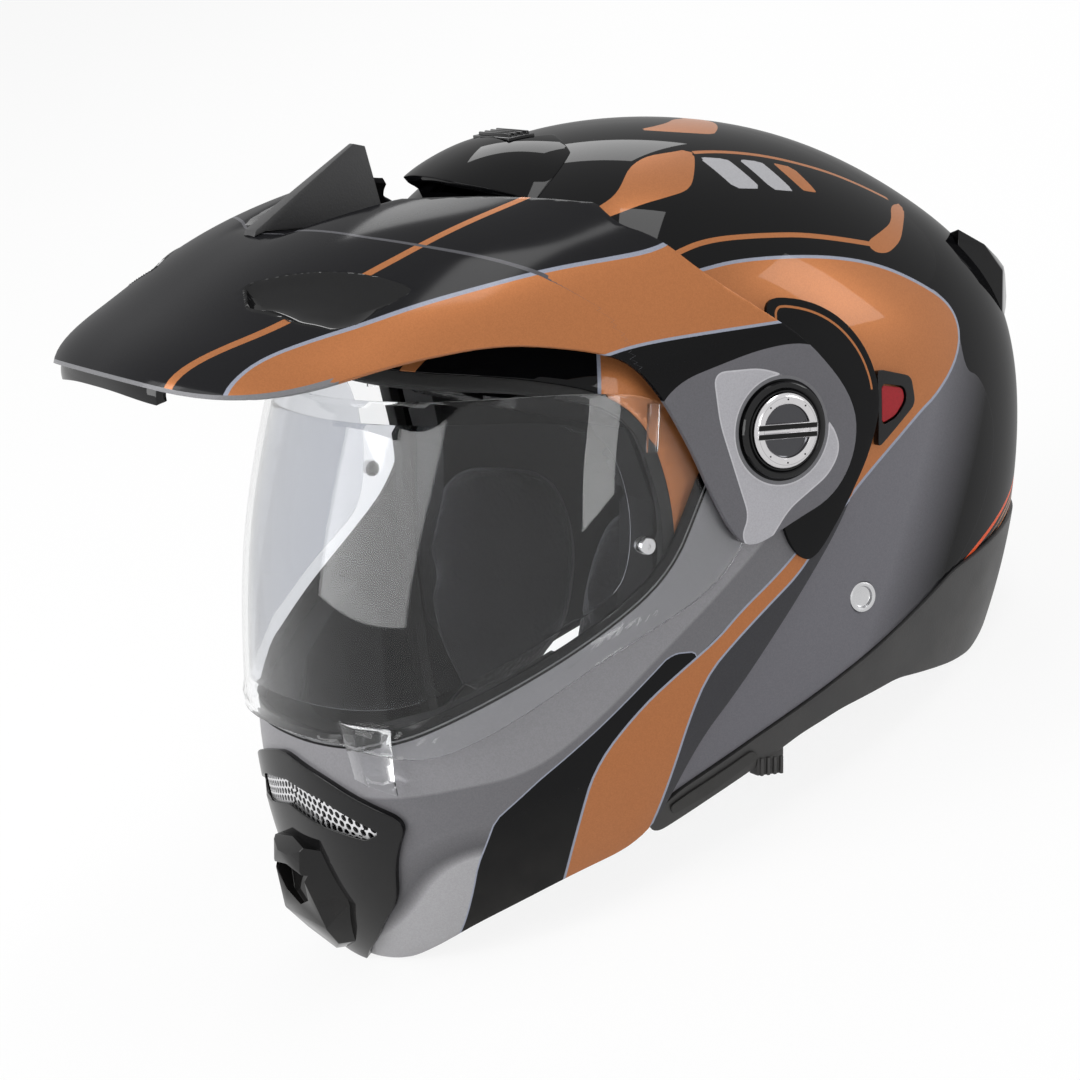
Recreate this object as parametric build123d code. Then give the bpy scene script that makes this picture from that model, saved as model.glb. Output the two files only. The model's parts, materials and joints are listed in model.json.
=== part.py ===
from build123d import *
from math import cos, hypot, radians, sin, tan
import os

os.makedirs("parts", exist_ok=True)

# The helmet is drawn in side view about the hinge line of the chin bar: points are (forward, up).
# It is drawn nose down, as it hangs on a stand, and is turned at the end to rest on its lower edge.
nose_down = 24
rest_depth = 150
far = 300


def rest_up(forward):
    """Height of the ground in the drawn side view."""
    return -(rest_depth + forward * sin(radians(nose_down))) / cos(radians(nose_down))


# Half widths of the nested layers at the hinge line, from the head outwards, and their walls
cavity_half = 80
liner_half = 106.3
sun_half = 112.6
sun_wall = 2
shell_half = 117.5
shell_wall = 3.6
arm_gap = 1.6
arm_wall = 2.8
layer_gap = 1.0
cover_wall = 2.0
visor_wall = 2.2
peak_wall = 2.6
chin_half = shell_half + arm_gap + arm_wall
visor_half = chin_half + layer_gap + visor_wall
peak_half = visor_half + layer_gap + peak_wall

# Clearances: where pieces sit still on each other, run in each other, and lie beside soft ones
seat = 0.05
running = 0.05
loose = 0.4
soft_gap = 0.3

# Squareness of a skin from side to side, and how finely it is made in flat facets
round_bulge = 2.2
square_bulge = 2.8
cap_angle = 81
fine = (52, 8)
medium = (40, 7)
coarse = (24, 5)

# Side lines of the skins
shell_line = [(127, 2), (98, 58), (60, 95), (0, 112), (-66, 106), (-122, 82), (-166, 44), (-180, -18),
              (-171, -80), (-140, -150), (-60, -225), (50, -225), (115, -175), (135, -90)]
chin_line = [(138, 0), (108, 76), (0, 150), (-130, 130), (-200, 0), (-180, -90), (-62, -234), (54, -242),
             (114, -218), (141, -166), (146, -140), (147, -118), (144, -58)]
visor_line = [(139, 10), (116, 72), (0, 126), (-110, 98), (-188, 0), (-172, -120), (-60, -250), (64, -252),
              (126, -206), (150, -155), (152.5, -127), (152, -60)]
peak_line = [(227, 23), (204, 44), (172, 65), (128, 84), (88, 95), (48, 106), (-30, 116), (-110, 94),
             (-167, 0), (-152, -112), (0, -192), (120, -122), (200, -20)]
liner_line = [(101, 0), (88, 48), (52, 85), (0, 104), (-62, 100), (-115, 76), (-156, 40), (-172, -18),
              (-163, -78), (-133, -142), (-58, -214), (48, -214), (98, -160), (104, -80)]
cavity_line = [(86, 0), (74, 44), (40, 72), (0, 79), (-60, 74), (-108, 48), (-134, 0), (-132, -60),
               (-104, -130), (-40, -190), (50, -190), (92, -120), (94, -50)]
sun_radius = 106
sun_step = 30

# Side outlines, where the skins are cut
opening_outline = [(200, 12), (88, 16), (56, 8), (44, -30), (44, -70), (38, -260), (200, -260)]
shell_outline = [(200, 200), (200, -160), (60, -168), (27, -141), (-4, -122), (-60, -92), (-103, -66),
                 (-160, -50), (-220, -40), (-220, 200)]
rim_outline = [(38, -154), (27, -142), (-4, -123), (-60, -93), (-103, -67), (-160, -51), (-220, -41),
               (-220, rest_up(-220)), (-129, rest_up(-129)), (-112, -108), (-74, -108), (-44, -116),
               (-25, -124), (13, -147), (33, -160)]
rim_pad_outline = [(30, -148), (23, -143), (-2, -128), (-6, -131), (13, -144), (28, -152)]
chin_outline = [(200, -121), (140, -120), (112, -100), (69, -70), (46, -50), (36, -26), (30, -12), (20, -4),
                (17, 10), (12, 30), (4, 42), (-8, 45), (-27, 42), (-42, 28), (-48, 8), (-44, -12), (-34, -36),
                (-18, -60), (12, -103),
                (25, -120), (41, -159), (72, -173), (97, -190), (107, -203), (113, rest_up(113)),
                (200, rest_up(200))]
cover_outline = [(4, 50), (-16, 48), (-32, 40), (-44, 26), (-50.5, 8), (-47, -14), (-37, -38), (-24, -60),
                 (-14, -56), (-5, -42), (-1, -24), (-1, 24)]
visor_outline = [(200, 2), (118, 12), (82, 16), (52, 16), (38, 4), (30, -8), (22, -9), (13, -13),
                 (10, -22), (12, -38), (20, -52), (31, -62), (69, -84), (109, -114), (122, -122), (132, -124),
                 (144, -121), (200, -120)]
fog_outline = [(200, -6), (116, 3), (84, 6), (66, 0), (58, -28), (60, -54), (70, -64), (86, -74), (112, -92),
               (136, -108), (200, -108)]
peak_outline = [(260, 24), (233, 24), (214, 18), (190, 20), (150, 32), (111, 38), (73, 33), (59, 25),
                (41, -2), (30, -24), (20, -40), (12, -44), (-6, -35), (-24, -27), (-34, -10), (-33, 10),
                (-12, 33), (7, 45), (30, 60), (44, 74), (60, 79), (60, 200), (260, 200)]
peak_rail_outline = [(233, 30), (229, 20), (221, 14), (206, 13), (196, 18), (190, 28), (212, 26)]
liner_outline = [(180, 180), (180, 16), (88, 20), (54, 13), (40, -28), (40, -104), (20, -128), (-60, -90),
                 (-103, -64), (-160, -48), (-220, -38), (-220, 180)]
crown_outline = [(120, 22), (120, 140), (-170, 140), (-170, -30), (-116, -34), (-60, -12), (20, 4), (60, 18)]
cheek_outline = [(42, -34), (52, -62), (56, -108), (36, -138), (6, -132), (-16, -112), (-24, -74), (-12, -40)]
neck_outline = [(-66, -102), (-128, -103), (-190, -75), (-190, -58), (-120, -72), (-66, -92)]
chin_liner_outline = [(180, -128), (140, -127), (112, -108), (76, -84), (64, -100), (66, -164), (95, -184),
                      (108, -208), (180, -240)]
sun_outline = [(0, -10), (36, -2), (150, 18), (92, 122), (34, 40), (-3, 10), (-9, 4), (-9, -5)]
lock_outline = [(-51, 19), (-69, 15), (-71, 4), (-51, -12)]
lock_window = [(-53, 13), (-65, 11), (-66, 6), (-61, 0), (-53, -3)]
vent_side = [(92, 60), (90, 120), (26, 120), (26, 60)]
vent_mouth_side = [(110, 66), (100, 86), (74, 88), (62, 94.5), (56, 92), (60, 70)]
vent_line = [(104, 20), (101, 60), (90, 88), (74, 99.5), (57, 106), (40, 108.5), (20, 108.5), (0, 106), (-60, 80),
             (-80, 0), (0, -80), (80, -40)]
seal_outline = [(200, 60), (200, -30), (60, -168), (27, -140), (-4, -121), (-4, 60)]
spoiler_side = [(-118, 60), (-118, 73), (-176, 41), (-178, 38), (-172, 30), (-150, 24)]
nose_side = [(100, -162), (144, -164), (150, -172), (140, -200), (122, -219), (100, -219)]
fin_side = [(164, 60), (160, 73), (117, 105), (112, 104), (106, 80), (104, 60)]
tab_side = [(146, -112), (142, -134), (130, -139), (116, -131), (110, -118), (120, -112)]
ridge_side = [(49, 12), (53, 12), (54, -6), (50, -6)]

# Plan outlines (left, forward) and front outlines (left, up), one half of each
vent_plan = [(0, 87), (20, 85), (35, 77), (47, 66), (56, 56), (54, 49), (38, 39), (0, 34)]
nose_plan = [(0, 151), (12, 148), (28, 131), (30, 100), (0, 100)]
peak_back_plan = [(0, 104), (38, 118), (53, 106), (75, 80), (91, 58), (97, 30), (0, 30)]
wing_plan = [(43, 182), (57, 187), (78, 177), (88, 168), (92, 160), (94, 137)]
spoiler_plan = [(0, -142), (36, -138), (58, -130), (62, -150), (0, -200)]
plan_floor = 36
intake_front = [(0, -177), (14, -179), (10, -190), (0, -194)]
fin_front = [(0, 112), (1.6, 106), (5, 72), (5, 50), (0, 50)]
sun_notch = [(0, 34), (20, 22), (28, 0), (0, 0)]
trim_front = [(0, -131), (30, -137), (64, -149), (56, -165), (50, -184), (30, -204), (0, -224)]
mesh_front = [(0, -143), (26, -146), (53, -155), (46, -159), (22, -157), (0, -153)]
nose_front = [(0, -166), (28, -170), (25, -190), (14, -208), (0, -214)]
trough_front = [(0, 73), (20, 74), (44, 92), (44, 200), (0, 200)]

# How far pieces stand proud of the skin that carries them, or reach in under it
vent_half = 84
spoiler_height = 9
seal_height = 0.5
seal_width = 5
seal_depth = shell_wall + 2
rim_height = 1.2
rim_depth = 8
rim_pad_height = 2.4
lock_frame_height = 3
lock_button_height = 2.2
lock_button_depth = 0.8
trim_height = 3.0
tab_near = 26
tab_wide = 66
tab_height = 6
ridge_height = 1.4
mesh_wall = 1.0
wing_depth = 1
wing_wall = 2.4
rail_wall = 5
rail_half = 48
fin_wall = 5

# Soft lining
crown_wall = 9
cheek_wall = 26
neck_wall = 22
chin_foam_wall = 17
fog_gap = 0.6
fog_wall = 1.2

# Hinges, knobs and pins: places in side view, radii, and reaches out to the left
hinge_place = (0, 0)
hinge_radius = 9
hinge_base_radius = 20
hinge_base_wall = 1.0
mount_radius = 16
knob_radius = 14.3
knob_height = 4.2
knob_rim = 2.4
knob_recess = 1.8
knob_seat = 0.8
grip_width = 7
bezel_radius = 18.5
bezel_height = 2.4
shaft_radius = 4
visor_hinge = (22, -21)
rivet_place = (-49, -71)
rivet_radius = 6.2
rivet_inner = 103.2
rivet_outer = 110.6
fog_pin_place = (54, -41)
fog_pin_inner = 114.6
fog_pin_outer = 120.4
fog_pin_radius = 3.4

# Blocks, as (left, forward, up) places and (width, length, height) sizes
vent_lean = 9
duct_lean = 17
duct_place = (0, 62, 92)
duct_size = (40, 12, 30)
mouth_half = 26
slider_place = (0, 50, 105.6)
slider_size = (30, 12, 3)
slider_travel = 9
slider_rib = (26, 1.2, 1.8)
slider_rib_up = 1.9
slider_rib_pitch = 2.6
rib_count = 4
shutter_place = (0, 137, -152)
shutter_size = (40, 1.8, 11)
shutter_travel = 9
shutter_grip_place = (0, 131, -153.5)
shutter_grip_size = (5, 12, 4)
shutter_window = (36, 40, 8)
release_place = (0, 108, -203)
release_size = (24, 10, 9)
release_travel = 4
lever_place = (99, -12, -130.5)
lever_size = (6, 12, 17)
lever_slot = (6.8, 13, 24)
lever_slot_place = (99, -12, -124)
lever_travel = 20
lever_rib = (1.6, 1.4, 7)
lever_rib_place = (102.6, -7.5, -135.5)
lever_rib_pitch = 3

# Chin strap and its buckle
strap_forward = -49
strap_wide = 22
strap_thick = 1.8
strap_slack = 3
strap_route = [(102, -66), (97, -89), (81, -105), (54, -118), (17, -123)]
buckle_place = (0, strap_forward, -124)
buckle_size = (33, 24, 8)
buckle_room_place = (4, strap_forward, -122.6)
buckle_room = (33, 18, 5.4)
buckle_lever_place = (-2.5, strap_forward, -129.6)
buckle_lever_size = (29, 20, 2.2)
lever_pin_place = (12, strap_forward, -129.6)
lever_pin_radius = 1.4
tongue_place = (7, strap_forward, -123.8)
tongue_size = (19.8, 12, 1.6)
tooth_size = (1.2, 12, 1)
tooth_place = (1, strap_forward, -122.6)
tooth_pitch = 2.6
tooth_count = 6

above_ground = [(-far, rest_up(-far)), (far, rest_up(far)), (far, far), (-far, far)]
side_plane = Plane(origin=(0, 0, 0), x_dir=(0, -1, 0), z_dir=(-1, 0, 0))
front_plane = Plane(origin=(0, 0, 0), x_dir=(1, 0, 0), z_dir=(0, -1, 0))


def skin(line, half, inset=0, bulge=round_bulge, grain=medium):
    """Closed body whose upright slices are the side line, drawn smaller towards both sides."""
    around, across = grain
    rings = []
    for step in range(-across, across + 1):
        turn = radians(cap_angle * abs(step) / across)
        place = (half - inset) * sin(turn) ** (2 / bulge) * (1 if step > 0 else -1)
        size = cos(turn) ** (2 / bulge)
        points = []
        for forward, up in line:
            scale = size * (1 - inset / hypot(forward, up))
            points.append((place, -forward * scale, up * scale))
        edge = Spline(*points, periodic=True)
        rings.append([edge @ (share / around) for share in range(around)])
    faces = [Face(Wire.make_polygon(ring, close=True)) for ring in (rings[0], rings[-1])]
    for near, wide in zip(rings, rings[1:]):
        for step in range(around):
            after = (step + 1) % around
            corners = [near[step], near[after], wide[after], wide[step]]
            faces.append(Face(Wire.make_polygon(corners, close=True)))
    return Solid(Shell(faces))


def outline_face(outline, plane, grow):
    face = make_face(Polyline(*outline, close=True))
    if grow:
        face = offset(face, amount=grow, kind=Kind.INTERSECTION)
    return plane * face


def side(outline, grow=0, near=-far, wide=far):
    """Prism with a side outline, between two places across the helmet."""
    return extrude(outline_face(outline, side_plane.offset(-near), grow), amount=near - wide)


def left_side(outline, grow=0):
    """Prism with a side outline, through the left wall only."""
    return side(outline, grow, cavity_half)


def mirrored(half_outline):
    """A half outline from its middle round to its middle, with the other half."""
    return half_outline + [(-left, along) for left, along in reversed(half_outline) if left]


def front(outline, grow=0, near=cavity_half):
    """Prism with a front outline, from a distance forward of the hinge line onwards."""
    return extrude(outline_face(outline, front_plane.offset(near), grow), amount=far - near)


def plan(outline, grow=0, low=-far):
    """Prism with a plan outline, from a height upwards."""
    points = [(left, -forward) for left, forward in outline]
    return extrude(outline_face(points, Plane.XY.offset(low), grow), amount=far - low)


def bar(place, radius, near, wide):
    """Round bar across the left side of the helmet."""
    plane = Plane(origin=(near, -place[0], place[1]), x_dir=(0, -1, 0), z_dir=(1, 0, 0))
    return extrude(plane * Circle(radius), amount=wide - near)


def bore(shape, place, radius):
    """The shape with a round hole for a pin through its left and right walls."""
    for hole in pair(bar(place, radius + running, cavity_half, far)):
        shape = shape - hole
    return shape


def block(place, size, lean=0):
    """Box about a (left, forward, up) point, its rear end raised by the lean."""
    left, forward, up = place
    return Pos(left, -forward, up) * Rot(lean, 0, 0) * Box(*size)


def moved(place, left=0, forward=0, up=0):
    return (place[0] + left, place[1] + forward, place[2] + up)


def grown(size, width=0, length=0, height=0):
    return (size[0] + width, size[1] + length, size[2] + height)


def pair(shape):
    return [shape, mirror(shape, Plane.YZ)]


def cap(half, bulge=round_bulge):
    """Where a skin's flat cap lies, out from the middle of the helmet."""
    return half * sin(radians(cap_angle)) ** (2 / bulge)


shell_skin = skin(shell_line, shell_half, 0, round_bulge, fine)
shell_seat = skin(shell_line, shell_half, -seat, round_bulge, fine)
chin_skin = skin(chin_line, chin_half, 0, round_bulge, fine)
chin_seat = skin(chin_line, chin_half, -seat, round_bulge, fine)
cavity_skin = skin(cavity_line, cavity_half, 0, round_bulge, coarse)
shell_cap = cap(shell_half)
chin_cap = cap(chin_half)
visor_cap = cap(visor_half)
peak_cap = cap(peak_half, square_bulge)


# Shell and what is fixed to it
def outer_shell():
    wall = (shell_skin - skin(shell_line, shell_half, shell_wall)) & side(shell_outline)
    wall = wall - side(opening_outline, seal_width + seat)
    wall = bore(wall, rivet_place, rivet_radius)
    return wall - left_side(lock_window, soft_gap) - block(duct_place, duct_size, duct_lean)


def eye_port_seal():
    lip = skin(shell_line, shell_half, -seal_height) - skin(shell_line, shell_half, seal_depth)
    return (lip & side(opening_outline, seal_width) & side(seal_outline)) - side(opening_outline)


def edge_trim():
    strip = skin(shell_line, shell_half, -rim_height)
    strip = strip - skin(shell_line, shell_half, rim_depth, round_bulge, coarse)
    slot_place = moved(lever_slot_place, 0, -lever_travel / 2)
    return (strip & side(rim_outline)) - block(slot_place, grown(lever_slot, 0, lever_travel))


def edge_pads():
    strip = skin(shell_line, shell_half, -rim_pad_height) - skin(shell_line, shell_half, -rim_height - seat)
    return strip & side(rim_pad_outline)


def impact_liner():
    foam = skin(liner_line, liner_half, 0, round_bulge, coarse) & side(liner_outline)
    foam = foam - cavity_skin
    for slot in pair(strap_band(strap_thick + strap_slack, strap_wide + strap_slack)):
        foam = foam - slot
    return foam


def comfort(outline, thick, near=-far):
    """A pad that lines the head cavity."""
    inner = skin(cavity_line, cavity_half, thick, round_bulge, coarse)
    return (skin(cavity_line, cavity_half, soft_gap, round_bulge, coarse) & side(outline, 0, near)) - inner


def neck_roll():
    roll = skin(shell_line, shell_half, rim_depth + soft_gap, round_bulge, coarse) & side(neck_outline)
    return roll - skin(shell_line, shell_half, rim_depth + neck_wall, round_bulge, coarse)


def slider_shift(forward):
    """A place along the leaning top of the vent, seen from the slider's own place."""
    return moved(slider_place, 0, forward, -forward * tan(radians(vent_lean)))


def top_vent():
    hood = skin(vent_line, vent_half) & plan(mirrored(vent_plan)) & side(vent_side)
    hood = hood - shell_seat - side(vent_mouth_side, 0, -mouth_half, mouth_half)
    groove = grown(slider_size, loose, slider_travel + 2 * loose, slider_rib_up)
    return hood - block(moved(slider_shift(-slider_travel / 2), 0, 0, slider_rib_up / 2), groove, vent_lean)


def vent_slider():
    plate = block(moved(slider_place, 0, 0, seat), slider_size, vent_lean)
    for step in range(rib_count):
        place = slider_shift(slider_rib_pitch * (step - (rib_count - 1) / 2))
        plate = plate + block(moved(place, 0, 0, slider_rib_up), slider_rib, vent_lean)
    return plate


def rear_spoiler():
    blade = skin(shell_line, shell_half, -spoiler_height) & plan(mirrored(spoiler_plan)) & side(spoiler_side)
    return blade - shell_seat


def hinge_base():
    """Disc on the shell under the arm, with the pin that the chin bar turns on."""
    disc = bar(hinge_place, hinge_base_radius, shell_cap + seat, shell_cap + hinge_base_wall)
    return disc + bar(hinge_place, hinge_radius, shell_cap + seat, chin_cap + layer_gap)


def lock_frame():
    plate = skin(shell_line, shell_half, -lock_frame_height) & left_side(lock_outline)
    return plate - shell_seat - left_side(lock_window, soft_gap)


def lock_button():
    plate = skin(shell_line, shell_half, -lock_button_height) & left_side(lock_window)
    return plate - skin(shell_line, shell_half, lock_button_depth)


def sun_pin():
    return bar(hinge_place, shaft_radius, cap(liner_half) + seat, shell_cap - shell_wall - seat)


def strap_rivet():
    return bar(rivet_place, rivet_radius, rivet_inner, rivet_outer)


# Strap and buckle
def strap_band(thick, wide):
    """The webbing on the left side, from its rivet round towards the buckle."""
    plane = front_plane.offset(strap_forward - wide / 2)
    return extrude(plane * trace(Polyline(*strap_route), line_width=thick), amount=wide)


def buckle_body():
    return block(buckle_place, buckle_size) - block(buckle_room_place, buckle_room)


def buckle_lever():
    """Flap under the buckle, with the round pin along its left edge that it turns on."""
    plane = front_plane.offset(strap_forward - buckle_lever_size[1] / 2)
    spot = Pos(lever_pin_place[0], lever_pin_place[2])
    pin = extrude(plane * spot * Circle(lever_pin_radius), amount=buckle_lever_size[1])
    return block(buckle_lever_place, buckle_lever_size) + pin


def buckle_tongue():
    strip = block(tongue_place, tongue_size)
    for step in range(tooth_count):
        strip = strip + block(moved(tooth_place, tooth_pitch * step), tooth_size)
    return strip


# Chin bar and what is fixed to it
def chin_bar():
    wall = (chin_skin & side(chin_outline)) - skin(chin_line, chin_half, arm_wall)
    return bore(wall, hinge_place, hinge_radius) - front(mirrored(mesh_front))


def chin_liner():
    foam = skin(chin_line, chin_half, arm_wall + seat) & side(chin_liner_outline)
    foam = foam - skin(chin_line, chin_half, arm_wall + chin_foam_wall, round_bulge, coarse)
    foam = foam - front(mirrored(mesh_front), 0, shutter_place[1] + shutter_size[1])
    raised = moved(shutter_place, 0, 0, shutter_travel / 2)
    foam = foam - block(raised, grown(shutter_size, loose, loose, shutter_travel + loose))
    foam = foam - block(shutter_place, shutter_window)
    grip_raised = moved(shutter_grip_place, 0, -chin_foam_wall / 2, shutter_travel / 2)
    foam = foam - block(grip_raised, grown(shutter_grip_size, loose, chin_foam_wall, shutter_travel + loose))
    return foam - block(release_place, grown(release_size, loose, loose, 5 * release_travel))


def pivot_cover():
    plate = skin(chin_line, chin_half, -cover_wall) & left_side(cover_outline)
    return plate - chin_seat - bar(hinge_place, mount_radius + loose, cavity_half, far)


def peak_mount():
    """Spacer between the arm and the peak, round the end of the hinge pin."""
    ring = bar(hinge_place, mount_radius, chin_cap + seat, peak_cap - peak_wall - seat)
    return ring - bar(hinge_place, hinge_radius + running, cavity_half, chin_cap + layer_gap + seat)


def visor_stud():
    return bar(visor_hinge, shaft_radius, chin_cap + seat, visor_cap + seat)


def mouth_trim():
    plate = skin(chin_line, chin_half, -trim_height) & front(mirrored(trim_front)) & side(above_ground)
    return plate - chin_seat - front(mirrored(mesh_front))


def mouth_mesh():
    sheet = skin(chin_line, chin_half, -mesh_wall / 2) & front(mirrored(mesh_front), -seat)
    return sheet - skin(chin_line, chin_half, mesh_wall / 2)


def chin_vent():
    """Faceted air intake on the point of the chin."""
    wedge = front(mirrored(nose_front)) & side(nose_side) & plan(mirrored(nose_plan))
    wedge = wedge - skin(chin_line, chin_half, -trim_height - seat)
    return wedge - front(mirrored(intake_front), 0, shutter_place[1] + trim_height)


# Peak
def peak():
    trough = front(mirrored(trough_front))
    body = skin(peak_line, peak_half, 0, square_bulge) & side(peak_outline)
    body = body - plan(mirrored(peak_back_plan), 0, plan_floor) - trough
    body = body - (skin(peak_line, peak_half, peak_wall, square_bulge) - Pos(0, 0, -peak_wall) * trough)
    for window in pair(plan(wing_plan, 0, plan_floor)):
        body = body - window
    return bore(body, hinge_place, shaft_radius)


def wing_vent():
    sheet = skin(peak_line, peak_half, wing_depth, square_bulge) & plan(wing_plan, -seat, plan_floor)
    return sheet - skin(peak_line, peak_half, wing_depth + wing_wall, square_bulge)


def peak_rail():
    sheet = skin(peak_line, peak_half, peak_wall + seat, square_bulge)
    sheet = sheet & side(peak_rail_outline, 0, -rail_half, rail_half)
    return sheet - skin(peak_line, peak_half, peak_wall + rail_wall, square_bulge)


def peak_fin():
    blade = side(fin_side, 0, -fin_wall, fin_wall) & front(mirrored(fin_front))
    trough = Pos(0, 0, seat) * front(mirrored(trough_front))
    return blade - (skin(peak_line, peak_half, -seat, square_bulge) - trough)


def knob_bezel():
    ring = bar(hinge_place, bezel_radius, peak_cap + seat, peak_cap + bezel_height)
    ring = ring - bar(hinge_place, shaft_radius + running, cavity_half, far)
    return ring - bar(hinge_place, knob_radius + running, peak_cap + knob_seat, far)


def knob():
    disc = bar(hinge_place, knob_radius, peak_cap + knob_seat + seat, peak_cap + knob_height)
    recess = bar(hinge_place, knob_radius - knob_rim, peak_cap + knob_height - knob_recess, far)
    across = block((peak_cap, 0, 0), (far, 2 * knob_radius, grip_width))
    shaft = bar(hinge_place, shaft_radius, peak_cap - peak_wall, peak_cap + knob_seat + seat)
    return disc - recess + (disc & recess & across) + shaft


# Visor
def visor():
    lens = skin(visor_line, visor_half, 0, round_bulge, fine) & side(visor_outline)
    lens = lens - skin(visor_line, visor_half, visor_wall, round_bulge, fine)
    return bore(bore(lens, visor_hinge, shaft_radius), fog_pin_place, fog_pin_radius)


def visor_tab():
    grip = skin(visor_line, visor_half, -tab_height) & side(tab_side, 0, tab_near, tab_wide)
    return grip - skin(visor_line, visor_half, -seat, round_bulge, fine)


def visor_ridge():
    grip = skin(visor_line, visor_half, -ridge_height) & left_side(ridge_side)
    return grip - skin(visor_line, visor_half, -seat, round_bulge, fine)


def fog_insert():
    outer = visor_wall + fog_gap
    lens = skin(visor_line, visor_half, outer, round_bulge, fine) & side(fog_outline)
    lens = lens - skin(visor_line, visor_half, outer + fog_wall, round_bulge, fine)
    return bore(lens, fog_pin_place, fog_pin_radius)


def fog_pin():
    return bar(fog_pin_place, fog_pin_radius, fog_pin_inner, fog_pin_outer)


# Sun visor and its lever
def sun_visor():
    turns = [radians(turn) for turn in range(0, 360, sun_step)]
    line = [(sun_radius * cos(turn), sun_radius * sin(turn)) for turn in turns]
    lens = skin(line, sun_half) & side(sun_outline)
    lens = lens - skin(line, sun_half, sun_wall) - front(mirrored(sun_notch), 0, 0)
    return bore(lens, hinge_place, shaft_radius)


def sun_lever():
    tab = block(lever_place, lever_size)
    for step in range(rib_count):
        tab = tab + block(moved(lever_rib_place, 0, -lever_rib_pitch * step), lever_rib)
    return tab


def mouth_shutter():
    return block(shutter_place, shutter_size) + block(shutter_grip_place, shutter_grip_size)


nodes = {
    "outer_shell": outer_shell(),
    "eye_port_seal": eye_port_seal(),
    "edge_trim": edge_trim(),
    "edge_pads": edge_pads(),
    "impact_liner": impact_liner(),
    "crown_pad": comfort(crown_outline, crown_wall),
    "neck_roll": neck_roll(),
    "top_vent": top_vent(),
    "vent_slider": vent_slider(),
    "rear_spoiler": rear_spoiler(),
    "hinge_bases": pair(hinge_base()),
    "sun_pins": pair(sun_pin()),
    "lock_frame": lock_frame(),
    "lock_button": lock_button(),
    "strap_rivets": pair(strap_rivet()),
    "buckle_body": buckle_body(),
    "buckle_lever": buckle_lever(),
    "buckle_tongue": buckle_tongue(),
    "chin_bar": chin_bar(),
    "chin_liner": chin_liner(),
    "mouth_trim": mouth_trim(),
    "mouth_mesh": mouth_mesh(),
    "mouth_shutter": mouth_shutter(),
    "release_button": block(release_place, release_size),
    "chin_vent": chin_vent(),
    "peak_mounts": pair(peak_mount()),
    "peak": peak(),
    "wing_vents": pair(wing_vent()),
    "peak_rail": peak_rail(),
    "peak_fin": peak_fin(),
    "knob_bezels": pair(knob_bezel()),
    "visor": visor(),
    "visor_studs": pair(visor_stud()),
    "visor_tab": visor_tab(),
    "visor_ridges": pair(visor_ridge()),
    "fog_insert": fog_insert(),
    "fog_pins": pair(fog_pin()),
    "sun_visor": sun_visor(),
    "sun_lever": sun_lever(),
}
two_sided = {
    "pivot_cover": pivot_cover(),
    "knob": knob(),
    "cheek_pad": comfort(cheek_outline, cheek_wall, 0),
    "strap": strap_band(strap_thick, strap_wide),
}
for name, shape in two_sided.items():
    nodes[name + "_left"], nodes[name + "_right"] = pair(shape)

# Turned to rest on its lower edge, middled over the origin
placed = {}
for name, shapes in nodes.items():
    shapes = shapes if isinstance(shapes, list) else [shapes]
    solids = [solid for shape in shapes for solid in shape.solids()]
    placed[name] = Pos(0, 0, rest_depth) * Rot(-nose_down, 0, 0) * Compound(solids)
box = Compound(list(placed.values())).bounding_box()
middle = (box.min.Y + box.max.Y) / 2
for name, shape in placed.items():
    export_step(Pos(0, -middle, 0) * shape, "parts/" + name + ".step")
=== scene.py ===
# %% [markdown]
# This lesson dresses a dual sport helmet, which is a road helmet and a dirt helmet in one. It has a long
# peak, a wide clear visor and a chin bar that swings up about two round pivots. The CAD model is the fixed
# frame: it says where each body is and how it moves. Blender adds the smooth skins, paint, glass and cloth.
# The helmet faces -Y and stands on the plane z = 0, and every length in the frame is in metres.

# %% Load the frame
import json
from math import radians
import bpy
import bmesh
import numpy as np
from mathutils import Matrix, Vector

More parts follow.
